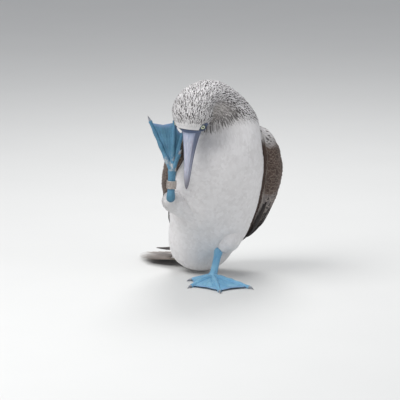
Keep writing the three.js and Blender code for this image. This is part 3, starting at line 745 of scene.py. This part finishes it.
# Balls that fill both thighs, as places and radii
THIGH_BALLS = [(spine.frame(place)[0], spine.frame(place)[4][0])
               for spine in map(thigh_spine, LEGS.values()) for place in np.linspace(0, 2.2, 12)]
FILLET_HEIGHT = 5.0
FILLET_REACH = 10.0
RUMP_CLOSING, RUMP_START, RUMP_STOP = 12, 3.4, 1.9


def trunk(station, angle, height):
    """The body's surface, which swells a little where a thigh leaves it and closes onto the tail."""
    bare = BODY.surface(station, angle, 0)
    gap = np.min([np.linalg.norm(bare - centre, axis=-1) - radius for centre, radius in THIGH_BALLS], axis=0)
    swell = FILLET_HEIGHT * np.exp(-((np.maximum(gap, 0) / FILLET_REACH) ** 2))
    closing = RUMP_CLOSING * closing_in(-station, -RUMP_START, RUMP_START - RUMP_STOP, 0.96)
    return BODY.surface(station, angle, height + swell - closing)


BREAST_START = 7.4
COAT_PARTS = {"coat_rear": (0, BREAST_START), "coat_breast": (BREAST_START, NECK_START),
              "coat_neck": (NECK_START, HEAD_START), "coat_head": (HEAD_START, HEAD_END + 1)}
COAT_SPAN = (2.05, 20.98)
EDGE_SPAN = (18.2, 20.9)
EDGE_TRIES = 9000
EDGE_GAP = 3.0
EDGE_SIZE = 0.42


def body_coat():
    """The feathers of trunk, neck and head, which lie from the bill towards the tail.

    Small ones at random places also edge the bare face."""
    u, v, gaps = staggered_roots(trunk, coat_gap, *COAT_SPAN)
    edge_u, edge_v = rng.uniform(*EDGE_SPAN, EDGE_TRIES), rng.uniform(0, TURN, EDGE_TRIES)
    near = bare_face(trunk(edge_u, edge_v, 0), edge_u, grow=1.8) > 0.5
    edging = np.arange(len(u) + near.sum()) >= len(u)
    u, v = np.append(u, edge_u[near]), np.append(v, edge_v[near])
    gaps = np.vstack([gaps, np.full((near.sum(), 2), EDGE_GAP)])
    points = trunk(u, v, 0)
    keep = bare_face(points, u) < 0.35
    u, v, gaps, points, edging = u[keep], v[keep], gaps[keep], points[keep], edging[keep]
    marks = body_marks(u, v, points)
    marks["streak"] = marks["streak"] * rng.choice([0.5, 0.9, 1.0, 1.0], len(u))
    del marks["bare"]
    depth = coat_depth(u, v)
    small = np.where(edging, EDGE_SIZE, 1 - 0.45 * bare_face(points, u, grow=3))
    length = gaps[:, 0] * rng.uniform(2.2, 2.9, len(u)) * small
    width = gaps[:, 1] * rng.uniform(1.5, 1.8, len(u)) * small
    low = -depth + 0.25
    high = -0.35 - rng.uniform(0, 0.35, len(u)) * depth / 3
    bake = np.stack([np.mod(v, TURN) / TURN * 0.99 + 0.005, u / BODY.last * 0.99 + 0.005], -1)
    for name, (first, last) in COAT_PARTS.items():
        part = (u >= first) & (u < last)
        shape = shingles(trunk, *(x[part] for x in (u, v, length, width, low, high)), -1, 0.8, bake[part],
                         **{key: value[part] for key, value in marks.items()})
        piece(name, shape, PLUMAGE)


THIGH_SPAN = (0.1, 2.93)
THIGH_GAP = 4.6
THIGH_DEPTH = 1.8


def thigh_surface(leg):
    """The thigh, which closes round the shank at its end."""
    spine = thigh_spine(leg)

    def surface(place, angle, height):
        return spine.surface(place, angle, height - leg["closing"] * closing_in(place, 2.3, 0.72, 0.98))
    return surface


def thigh_coat(side, leg):
    surface = thigh_surface(leg)
    u, v, gaps = staggered_roots(surface, lambda _: (THIGH_GAP, THIGH_GAP), *THIGH_SPAN)
    taper = 1 - 0.5 * ease(u, 1.6, 2.9)
    length = gaps[:, 0] * rng.uniform(2.2, 2.8, len(u)) * taper
    width = gaps[:, 1] * rng.uniform(1.3, 1.6, len(u)) * taper
    low = np.full(len(u), -THIGH_DEPTH + 0.2)
    high = -0.5 - rng.uniform(0, 0.5, len(u))
    bake = np.stack([np.mod(v, TURN) / TURN * 0.99 + 0.005, u / 3 * 0.98 + 0.005], -1)
    shape = shingles(surface, u, v, length, width, low, high, 1, 0.8, bake)
    piece(f"coat_thigh_{side}", shape, PLUMAGE)


def skin():
    """One skin under the feathers of trunk, neck, head and thighs, which also shows the bare face."""
    stations = np.concatenate([np.linspace(TAIL_END, HEAD_START, 190)[:-1],
                               np.linspace(HEAD_START, HEAD_END, 110)])
    u, v = np.meshgrid(stations, np.linspace(0, TURN, 161)[:-1], indexing="ij")
    points = trunk(u, v, 0)
    bare = bare_face(points, u)
    rings = trunk(u, v, -coat_depth(u, v) * (1 - 0.6 * bare) + face_relief(points) * bare)
    marks = body_marks(u, v, points)
    marks["streak"] = marks["streak"] * 0.6
    forms = [tube_shape(rings, along=0.4, across=0.5, seed=0.5, dark=face_lines(points), **marks)]
    for leg in LEGS.values():
        rings = thigh_surface(leg)(*lattice(0, 3, 60, 48), -THIGH_DEPTH)
        forms.append(tube_shape(rings, along=0.4, across=0.5, seed=0.5))
    piece("skin", merged(forms), PLUMAGE,
          ["torso", "neck", "head", "thigh_left", "thigh_right"])


def face_relief(points):
    """Raised bare skin round the eye, sunk inside it, and the fold along the gape, in mm."""
    ahead, _, up = in_head(points)
    eye, gape = from_eye(ahead, up), from_gape(ahead, up)
    socket = 0.5 * np.exp(-(((eye - 7) / 1.2) ** 2)) - 1.6 * np.exp(-((eye / 5) ** 2))
    return socket + 0.5 * np.exp(-(((gape - 1.6) / 0.8) ** 2)) - 0.9 * np.exp(-((gape / 0.7) ** 2))


def face_lines(points):
    """Dark lines of the bare face: its edge against the feathers, the gape and the rim of the eye."""
    ahead, left, up = in_head(points)
    rim = 1 - ease(np.abs(from_eye(ahead, up) - 7.6), 0.4, 1.4)
    gape = (1 - ease(from_gape(ahead, up), 0.5, 1.6)) * ease(np.abs(left), 8, 10)
    brow = (1 - ease(np.abs(ahead + 1.4), 0.5, 1.6)) * ease(up, 9, 11)
    return np.clip(np.maximum.reduce([0.9 * rim, gape, 0.8 * brow]), 0, 1)


# Long feathers: thin closed blades with a raised shaft

BLADE_ROWS = 12
BLADE_COLUMNS = np.array([-1.0, -0.55, 0.0, 0.55, 1.0])


def blade(centres, sides, outs, half_width, thickness, tilt, point, bake, **values):
    """A blade along its middle line. Its half-width is in mm and point is how sharp its tip is."""
    share, columns = np.linspace(0, 1, len(centres))[:, None], BLADE_COLUMNS[None, :]
    outline = np.sqrt(np.maximum(1 - ease(share, 1 - point, 1.04), 0.002))
    outline = (0.5 + 0.5 * ease(share, 0, 0.35)) * outline
    y = columns * outline * half_width
    arch = (0.1 * half_width * (1 - columns**2) + tilt * columns) * outline
    top = centres[:, None] + sides[:, None] * y[..., None] + outs[:, None] * arch[..., None]
    thin = thickness * (1 - 0.7 * np.abs(columns)) * (0.4 + 0.6 * outline)
    bottom = top - outs[:, None] * thin[..., None]
    shape = tube_shape(np.concatenate([top, bottom[:, ::-1]], axis=1), along=share,
                       across=np.append(BLADE_COLUMNS, BLADE_COLUMNS[::-1]), **values)
    shape.uv = np.asarray(bake) + BAKE_PATCH * np.stack(
        [shape.values["across"] / 2, shape.values["along"] - 0.5], -1)
    a, b, c = shape.points[shape.quads[0][:3]]
    if np.dot(np.cross(b - a, c - b), outs[0]) < 0:
        shape.quads = shape.quads[:, ::-1]
        shape.triangles = shape.triangles[:, ::-1]
    return shape


def wing_line(wing, root, tip, sink, rise):
    """A blade's middle line on a wing from root to tip, each [station, across]."""
    share = np.linspace(0, 1, BLADE_ROWS)
    start, end = wing.along_at(root[0]), wing.along_at(tip[0])
    along = start + (end - start) * share
    across = root[1] + (tip[1] - root[1]) * share
    height = -sink + (rise + sink) * share
    centres = wing.surface(along, across, height)
    over = wing.surface(along, across + 0.01, height) - centres
    ahead = unit(np.gradient(centres, axis=0))
    outs = unit(np.cross(over, ahead))
    outs = outs * np.sign(dot(outs, wing.surface(along, across, height + 1) - centres))
    return centres, unit(np.cross(ahead, outs)), outs


# Tiers of long wing feathers: roots and tips [station, across] of the first and last feather, how many,
# their width in mm and how black they are.
WING_TIERS = (
    (((8.2, 0.02), (8.0, 0.96)), ((5.9, 0.02), (5.5, 0.97)), 12, 17, 0.25),
    (((7.2, 0.02), (7.0, 0.96)), ((4.9, 0.05), (4.2, 0.97)), 12, 18, 0.35),
    (((6.6, 0.3), (6.3, 0.96)), ((4.1, 0.36), (2.6, 0.95)), 11, 18, 0.45),
    (((6.4, 0.02), (6.2, 0.34)), ((0.3, 0.5), (2.6, 0.34)), 10, 18, 0.95),
)
WING_COVER = (6.9, 13.3)
WING_SKIN_END = 2.2
WING_SKIN_DEPTH = 2.6
WING_ROOT_DEPTH = 2.4
WING_GAP_STATIONS = (6.9, 9, 11, 13.3)


def wing_gap(wing):
    def gap(along):
        station = wing.station_at(np.array([along]))[0]
        return (np.interp(station, WING_GAP_STATIONS, (9.5, 7.5, 6, 4.5)),
                np.interp(station, WING_GAP_STATIONS, (10, 8, 6.5, 5)))
    return gap


def wing_marks(side, station, across):
    """Brown coverts with pale fringes, a white streaked shoulder and a mottled patch low at the front."""
    shoulder = ease(station, 12.5, 13.1)
    patch = (1 - ease(across, 0.04, 0.13)) * ease(station, 6.9, 7.4) * (1 - ease(station, 8.9, 9.4))
    patch = patch * (side == "left")
    edge = (1 - ease(station, 6.4, 7.4)) * (1 - ease(across, 0.25, 0.5))
    return {
        "brown": np.clip(1 - 0.85 * shoulder - 0.2 * patch, 0, 1),
        "streak": 0.9 * shoulder + 0.8 * patch,
        "fringe": (0.28 + 0.15 * patch) * (1 - 0.8 * edge),
        "black": np.maximum(0.3 * ease(-station, -9, -6), 0.95 * edge),
    }


def wing_pieces(side):
    """A wing: its skin, the small coverts over it and the tiers of long feathers."""
    wing = Wing(side)
    u, v = np.meshgrid(np.linspace(0, wing.along_at(WING_SKIN_END), 60), np.linspace(0, 1, 25), indexing="ij")
    rings = np.concatenate([wing.surface(u, v, -WING_SKIN_DEPTH), wing.inside(u, v)[:, ::-1]], 1)
    white = ease(wing.station_at(u[:, :1]), 12.5, 13.1)
    shape = tube_shape(rings, along=0.4, across=0.5, seed=0.6, brown=1 - white, black=0.1)
    piece(f"wing_skin_{side}", shape, PLUMAGE, [f"wing_{side}"])

    stop, start = wing.along_at(WING_COVER)
    u, v, gaps = staggered_roots(wing.surface, wing_gap(wing), start, stop, closed=False)
    u = np.clip(u, 0.01, stop)
    marks = wing_marks(side, wing.station_at(u), v)
    marks["streak"] = marks["streak"] * rng.choice([0.3, 1.0], len(u))
    length = gaps[:, 0] * rng.uniform(2.2, 2.8, len(u))
    width = gaps[:, 1] * rng.uniform(1.3, 1.6, len(u))
    low = np.full(len(u), -WING_ROOT_DEPTH)
    high = rng.uniform(-0.1, 0.5, len(u))
    bake = np.stack([0.02 + 0.95 * v, 0.02 + 0.95 * u / (len(wing.row) - 1)], -1)
    shape = shingles(wing.surface, u, v, length, width, low, high, 1, 0.6, bake, skew=0.1, **marks)
    piece(f"coat_wing_{side}", shape, PLUMAGE)

    blades = []
    for level, (roots, tips, count, width, black) in enumerate(WING_TIERS):
        for k in range(count):
            step = k / (count - 1)
            root, tip = (np.array(ends[0]) + (np.array(ends[1]) - ends[0]) * share
                         for ends, share in ((roots, step), (tips, step**1.4)))
            centres, sides, outs = wing_line(wing, root, tip, WING_ROOT_DEPTH, -0.1 - 0.3 * level)
            bake = (0.05 + 0.9 * (level + step) / len(WING_TIERS), 0.02 + 0.95 * (1 - root[0] / 14))
            front = max(black, 0.95 * (1 - float(ease(step, 0.15, 0.45))))
            blades.append(blade(
                centres, sides, outs, width / 2 * rng.uniform(0.95, 1.08), 0.8, 0.8, 0.3, bake,
                seed=rng.random(), brown=1.0, black=front, fringe=0.42 - 0.38 * front, shaft=0.35))
    piece(f"flight_{side}", merged(blades), PLUMAGE)


TAIL_ROOT = np.array([-12.0, 96, 23])
TAIL_AHEAD = unit(np.array([-0.5, 0.86, -0.12]))
TAIL_UP = unit(np.array([0, 0, 1.0]) - TAIL_AHEAD * TAIL_AHEAD[2])
TAIL_SIDE = np.cross(TAIL_AHEAD, TAIL_UP)
TAIL_LENGTH = 155
TAIL_FEATHERS = 14
TAIL_SPREAD = 0.36
TAIL_WEDGE = 0.36
TAIL_WIDTH = 17
TAIL_BALL = (20, 14, 4.5)


def tail():
    """A wedge of long pointed feathers on a soft root, the middle ones the longest, palest and on top."""
    forms = []
    rows = np.ones((BLADE_ROWS, 1))
    for k in range(TAIL_FEATHERS):
        share = 2 * k / (TAIL_FEATHERS - 1) - 1
        off = abs(share)
        ahead = TAIL_AHEAD * math.cos(share * TAIL_SPREAD) + TAIL_SIDE * math.sin(share * TAIL_SPREAD)
        length = TAIL_LENGTH * (1 - TAIL_WEDGE * off**1.4)
        root = TAIL_ROOT + TAIL_SIDE * share * 9 - TAIL_UP * 3.2 * off
        centres = root + ahead * length * np.linspace(0, 1, BLADE_ROWS)[:, None]
        across = np.cross(TAIL_UP, ahead)
        forms.append(blade(
            centres, across * rows, TAIL_UP * rows, TAIL_WIDTH / 2, 0.8, -0.7 * np.sign(share), 0.6,
            (0.1 + 0.8 * (k / TAIL_FEATHERS), 0.5), seed=rng.random(), brown=0.72 + 0.2 * off,
            black=0.1 + 0.25 * off, fringe=0.55, shaft=0.9))
    rings = TAIL_ROOT + TAIL_AHEAD * 6 - TAIL_UP * 1.5 + ball(0, 17, 24)[0] * TAIL_BALL
    base = tube_shape(rings[1:-1, ::-1], along=0.4, across=0.5, seed=0.5, brown=0.2)
    base.uv = np.full((len(base.points), 2), 0.05)
    piece("tail_feathers", merged([*forms, base]), PLUMAGE, ["tail"])


# Rows of rump feathers: how many, their first, middle and last places, and their colours. The first two
# places are stations, and the last is [ahead, aside, up] from the tail's root. Angles are in degrees.
RUMP_ROWS = (
    (11, 90, 75, 3.4, 2.5, (58, 26, 5), dict(brown=0.65, fringe=0.5, shaft=0.6)),
    (9, 90, 70, 4.0, 3.0, (26, 22, 9), dict(brown=0.8, fringe=0.5, shaft=0.4)),
    (11, 270, 80, 3.2, 2.4, (52, 24, -5), dict(brown=0.0, fringe=0.0, shaft=0.1)),
)
RUMP_WIDTH = 15


def rump():
    """The coverts over and under the tail's root."""
    share = np.linspace(0, 1, BLADE_ROWS)[:, None]
    blades = []
    for count, middle, reach, first, second, (ahead, aside, rise), colours in RUMP_ROWS:
        for k in range(count):
            angle = np.radians([middle + reach * (2 * k / (count - 1) - 1)])
            start = trunk(np.array([first]), angle, -2.5)
            halfway = trunk(np.array([second]), angle, -0.5)
            tip = TAIL_ROOT + TAIL_AHEAD * ahead + TAIL_SIDE * aside * math.cos(angle[0]) + TAIL_UP * rise
            centres = bend(start, halfway, tip, share)
            along = unit(np.gradient(centres, axis=0))
            outward = unit(halfway - BODY.frame(np.array([second]))[0])
            outs = unit(outward * (1 - share) + TAIL_UP * np.sign(rise) * share)
            outs = unit(outs - along * dot(outs, along))
            blades.append(blade(centres, np.cross(along, outs), outs, RUMP_WIDTH / 2, 0.7, 0.5, 0.45,
                                (0.1 + 0.8 * k / count, 0.3), seed=rng.random(), **colours))
    piece("coat_rump", merged(blades), PLUMAGE)


# The bill: half-width, height over the mouth line and depth under it at shares of its length

BILL_ROOT = -9
BILL_LENGTH = 106
BILL_SHARES = np.array([0, 0.09, 0.2, 0.3, 0.42, 0.55, 0.7, 0.84, 0.94, 1])
BILL_SIZES = np.array([
    [18.3, 15, 18], [17, 15, 17], [14.2, 14, 13.5], [12, 12.8, 10.5], [9.8, 10.8, 8],
    [8, 9, 6.2], [6.6, 7.4, 4.8], [5.2, 6, 3.6], [3.4, 4.2, 2.3], [0.9, 1.0, 0.6]])
MOUTH_HEIGHT = -1.5
TIP_DROOP = 2.4
GROOVE_ANGLE = 0.62


def mandible(upper):
    """Half of the bill, from its root in the head to its tip, with a groove along each side of the upper."""
    share, angle = np.linspace(0, 1, 110)[:, None], np.linspace(0, math.pi, 33)[None, :]
    sizes = smooth(BILL_SIZES, np.interp(share[:, 0], BILL_SHARES, np.arange(len(BILL_SHARES))))[0]
    half, over, under = sizes.T[..., None]
    depth, way = (over, 1) if upper else (under, -1)
    from_lip = np.minimum(angle, math.pi - angle)
    from_groove = from_lip - GROOVE_ANGLE
    groove = np.exp(-((from_groove / 0.13) ** 2)) * (1 - share**3) * upper
    lip = np.exp(-((from_lip / 0.16) ** 2))
    saw = 0.18 * np.sin(share * 95) * lip * ease(share, 0.25, 0.4)
    out = 1 - 0.9 * groove / depth
    rings = on_head(
        BILL_ROOT + share * (BILL_LENGTH - BILL_ROOT),
        half * out * np.cos(angle) * (1 - 0.02 * lip),
        MOUTH_HEIGHT - TIP_DROOP * share**4 + way * (0.25 + depth * out * np.sin(angle) ** 0.9) + saw)
    # The sides, the groove and the lip edge carry the painted shade of the bill's finish.
    flank = 1 - ease(from_groove, -0.08, 0.1) if upper else 1
    pale = 0 if upper else np.exp(-(((from_lip - 0.34) / 0.2) ** 2))
    return tube_shape(rings[:, ::-1] if upper else rings, along=share, turn=angle / math.pi, groove=groove,
                      edge=lip, flank=flank, pale=pale)


def eye_frame(side):
    gaze = unit(EYE_GAZE[0] * BILL_AHEAD + EYE_GAZE[1] * side * BILL_LEFT + EYE_GAZE[2] * BILL_UP)
    aside = unit(BILL_AHEAD - gaze * np.dot(gaze, BILL_AHEAD))
    return on_head(EYE_PLACE[0], EYE_PLACE[1] * side, EYE_PLACE[2]), gaze, aside, np.cross(gaze, aside)


def eye_shape(side):
    """An eyeball that looks out of the head, with how far each point lies off its gaze."""
    centre, gaze, aside, above = eye_frame(side)
    away, turn = lattice(0.02, math.pi - 0.02, 48, 48)
    bulge = 1 + 0.05 * np.exp(-((away / 0.45) ** 2))
    ways = np.cos(away)[..., None] * gaze + np.sin(away)[..., None] * circling(turn, aside, above)
    rings = ways * (EYE_RADIUS * bulge)[..., None]
    return tube_shape((centre + rings)[:, ::-1], away=away, turn=turn)


def lid_shape(side):
    """A ring of skin round the eye, a little drawn in at its front and back, with fine folds."""
    centre, gaze, aside, above = eye_frame(side)
    rows, columns = 72, 16
    turn, tube = lattice(0, TURN * (1 - 1 / rows), rows, columns)
    ring = 5.7 + 0.3 * np.cos(2 * turn) + (1.75 + 0.1 * np.sin(turn * 18)) * np.cos(tube)
    out = 2.2 + 1.6 * np.sin(tube)
    points = centre + circling(turn, aside, above) * ring[..., None] + gaze * out[..., None]
    return Shape(points, grid_faces(rows + 1, columns, wrap=True) % (rows * columns))


def head_pieces():
    piece("bill_over", mandible(True), BILL_HORN, ["bill_upper"])
    piece("bill_under", mandible(False), BILL_HORN, ["bill_lower"])
    for name, side in (("left", 1), ("right", -1)):
        piece(f"eyeball_{name}", eye_shape(side), EYE_WET, [f"eye_{name}"])
        piece(f"lids_{name}", lid_shape(side), LID_SKIN)


# Legs and feet


def tarsus_shape(leg):
    """A bare shank with a knobbed ankle and rows of broad scutes down its front."""
    top, end = leg["ankle"], leg["base"]
    shares = (-0.12, -0.04, 0.1, 0.3, 0.7, 0.9, 1.04)
    radii = (3, ANKLE_RADIUS - 1, ANKLE_RADIUS - 0.4, TARSUS_RADIUS, TARSUS_RADIUS, 7, 7.4)
    spine = round_spine([top + (end - top) * s for s in shares], radii)
    u, v = lattice(0, spine.last, 150, 32)
    scutes = np.abs(np.sin(u * 9)) ** 0.5 - 1
    front = 0.35 + 0.65 * ease(np.cos(v + math.pi / 2), -0.2, 0.6)
    rings = spine.surface(u, v, 0.35 * scutes * front)
    return tube_shape(rings, along=u / spine.last, fan=v / TURN)


def toe_line(leg, name, share):
    start, end = leg["base"], np.array(leg["toes"][name], float)
    middle = (start + end) / 2 + leg["dorsal"] * leg["bow"]
    return bend(start, middle, end, np.asarray(share, float)[..., None])


def toe_shape(leg, name):
    share = np.linspace(0, 1, 9)
    radii = 5.2 + (3.1 - 5.2) * share + 0.45 * np.cos(TURN * TOE_JOINTS[name] * share)
    spine = round_spine(toe_line(leg, name, share), radii, leg["dorsal"])
    u, v = lattice(0, spine.last, 170, 20)
    scutes = np.abs(np.sin(u * 11)) ** 0.5 - 1
    rings = spine.surface(u, v, 0.3 * scutes * ease(np.cos(v), -0.1, 0.7) - 0.1)
    along = u / spine.last
    return tube_shape(rings, along=along, fan=v / 12, dirt=foot_dirt(leg, along))


def foot_dirt(leg, share):
    """Pale dirt sticks to the raised foot near its base."""
    raised = leg is LEGS["right"]
    return 0.8 * raised * (ease(share, 0.02, 0.08) - ease(share, 0.2, 0.42))



def web_shape(leg, first, second):
    """A thin sheet between two toes, with shallow folds that fan out and a free edge that curves in."""
    i, k = np.meshgrid(np.linspace(0, 1, 60), np.linspace(0, 1, 61), indexing="ij")
    reach = 0.03 + 0.93 * i * (1 - 0.07 * np.sin(math.pi * k))
    line = toe_line(leg, first, reach) * (1 - k[..., None]) + toe_line(leg, second, reach) * k[..., None]
    folds = np.sin(k * 34 + 2 * np.sin(i * 5)) * 0.22 + np.sin(k * 13 + 1.3 * i * 4) * 0.3
    folds = folds * np.sin(math.pi * k) * ease(i, 0.02, 0.3)
    top = line + leg["dorsal"] * (0.6 + folds)[..., None]
    bottom = line + leg["dorsal"] * (-0.6 + 0.5 * folds)[..., None]
    along = i[:, :1]
    return tube_shape(np.concatenate([top, bottom[:, ::-1]], 1), along=along,
                      fan=np.append(k[0], k[0, ::-1]), rim=ease(along, 0.93, 1.0),
                      dirt=foot_dirt(leg, along) * 0.8)


def claw_shape(leg, name):
    tip = toe_line(leg, name, 1.0)
    ahead = unit(tip - toe_line(leg, name, 0.99))
    share = np.array([-0.45, 0, 0.45, 0.8, 1])
    lift = leg["claw_lift"] * np.sin(math.pi * np.maximum(share, 0)) - leg["claw_hook"] * share**2
    places = tip + ahead * (share * CLAW_LENGTH)[:, None] + leg["dorsal"] * lift[:, None]
    spine = round_spine(places, (2.4, 2.6, 1.9, 1.0, 0.35), leg["dorsal"])
    u, v = lattice(0, spine.last, 40, 16)
    rings = spine.surface(u, v, -0.35 * np.abs(np.sin(v)) ** 3)
    return tube_shape(rings, along=u / spine.last, turn=v / TURN)


def foot_lump(leg):
    """The joint where the toes meet."""
    ways, turn = ball(0.05, 24, 32)
    rings = leg["base"] + ways * (leg["lump"] - 0.3)
    return tube_shape(rings[::-1], along=0.0, fan=turn / TURN, dirt=foot_dirt(leg, 0.1))


def on_floor(shape):
    shape.points[:, 2] = np.maximum(shape.points[:, 2], 0)
    return shape


def leg_pieces(side, leg):
    # The raised foot takes the copy of the skin that is painted darker as painted shade.
    finish = STANDING_SKIN_LIT if side == "left" else RAISED_SKIN_SHADED
    piece(f"shank_{side}", tarsus_shape(leg), finish, [f"tarsus_{side}"])
    names = list(TOE_JOINTS)
    webs = [web_shape(leg, a, b) for a, b in zip(names, names[1:])]
    toes = [toe_shape(leg, name) for name in names]
    foot = on_floor(merged([*toes, *webs, foot_lump(leg)]))
    piece(f"webbed_foot_{side}", foot, finish, [f"foot_{side}"])
    for name in names:
        piece(f"nail_{side}_{name}", on_floor(claw_shape(leg, name)), CLAW_HORN,
              [f"claw_{side}_{name}"])


BAND_RADIUS, BAND_HEIGHT, BAND_WALL, BAND_PLACE = 8.8, 14, 1.0, 0.53
BAND_JOINT = 0.05


def rounded(values, power):
    return np.sign(values) * np.abs(values) ** power


def band():
    """A plain metal ring bent round the shank, with soft edges and the butt joint of its two ends."""
    top, end = LEGS["right"]["ankle"], LEGS["right"]["base"]
    axis = unit(end - top)
    aside = unit(np.cross(axis, (0, 1, 0)))
    above = np.cross(axis, aside)
    turn = np.linspace(BAND_JOINT, TURN - BAND_JOINT, 97)[:, None]
    corner = np.linspace(0, TURN, 29)[None, :-1]
    height = rounded(np.sin(corner), 0.18) * BAND_HEIGHT / 2
    radius = BAND_RADIUS + (rounded(np.cos(corner), 0.35) - 1) * BAND_WALL / 2
    radius = radius + 0.12 * np.sin(3 * turn) * np.cos(height / 4)
    points = (top + (end - top) * BAND_PLACE + circling(turn, aside, above) * radius[..., None]
              + axis * height[..., None])
    shape = tube_shape(points, along=height / BAND_HEIGHT + 0.5, turn=turn)
    piece("ring_band", shape, BAND_METAL, ["leg_band"])


# Stage, lights and camera

CAMERA_AZIMUTH, CAMERA_ELEVATION, CAMERA_DISTANCE = -10, 12, 6.0
CAMERA_LENS, CAMERA_SENSOR = 300, 36
CAMERA_TARGET = Vector((-0.0178, 0.0337, 0.1417))
FLOOR_REACH = 30


def plain(name, colour, roughness):
    f = Finish(name, Roughness=roughness)
    f.colour(f.mix(f.noise(6, 2), colour, tuple(0.97 * c for c in colour[:3]) + (1.0,)))
    return f.material


def stage():
    """A wide pale floor."""
    mesh = bpy.data.meshes.new("floor")
    corners = [(x * FLOOR_REACH, y * FLOOR_REACH, 0) for x, y in ((-1, -1), (1, -1), (1, 1), (-1, 1))]
    mesh.from_pydata(corners, [], [(0, 1, 2, 3)])
    mesh.materials.append(plain("floor_paint", srgb(214, 214, 212), 0.9))
    made = bpy.data.objects.new("floor", mesh)
    bpy.context.scene.collection.objects.link(made)


def aimed(name, data, azimuth, elevation, distance):
    """An object that faces the bird. Azimuth 0 is in front of it, and 90 is to the camera's right."""
    turn, rise = math.radians(azimuth), math.radians(elevation)
    way = Vector((math.sin(turn) * math.cos(rise), -math.cos(turn) * math.cos(rise), math.sin(rise)))
    made = bpy.data.objects.new(name, data)
    made.location = CAMERA_TARGET + way * distance
    made.rotation_euler = way.to_track_quat("Z", "Y").to_euler()
    bpy.context.scene.collection.objects.link(made)
    return made


def area_light(name, azimuth, elevation, distance, size, power, tint=(1, 1, 1)):
    light = bpy.data.lights.new(name, "AREA")
    light.shape = "DISK"
    light.size = size
    light.energy = power
    light.color = tint
    aimed(name, light, azimuth, elevation, distance)


def lights():
    world = bpy.data.worlds.new("studio")
    world.use_nodes = True
    background = world.node_tree.nodes["Background"].inputs
    background["Color"].default_value = (0.93, 0.95, 1.0, 1)
    background["Strength"].default_value = 0.5
    bpy.context.scene.world = world
    area_light("key", -55, 48, 2.2, 1.3, 34)
    area_light("fill", 45, 20, 2.6, 1.6, 9, (0.94, 0.97, 1))
    area_light("top", 160, 62, 2.0, 1.2, 22)


def camera():
    data = bpy.data.cameras.new("camera")
    data.lens = CAMERA_LENS
    data.sensor_width = CAMERA_SENSOR
    data.clip_end = 50
    made = aimed("camera", data, CAMERA_AZIMUTH, CAMERA_ELEVATION, CAMERA_DISTANCE)
    bpy.context.scene.camera = made


camera()
stage()
lights()
bpy.context.scene.view_settings.view_transform = "Standard"
skin()
body_coat()
head_pieces()
for side, leg in LEGS.items():
    thigh_coat(side, leg)
    leg_pieces(side, leg)
    wing_pieces(side)
band()
tail()
rump()
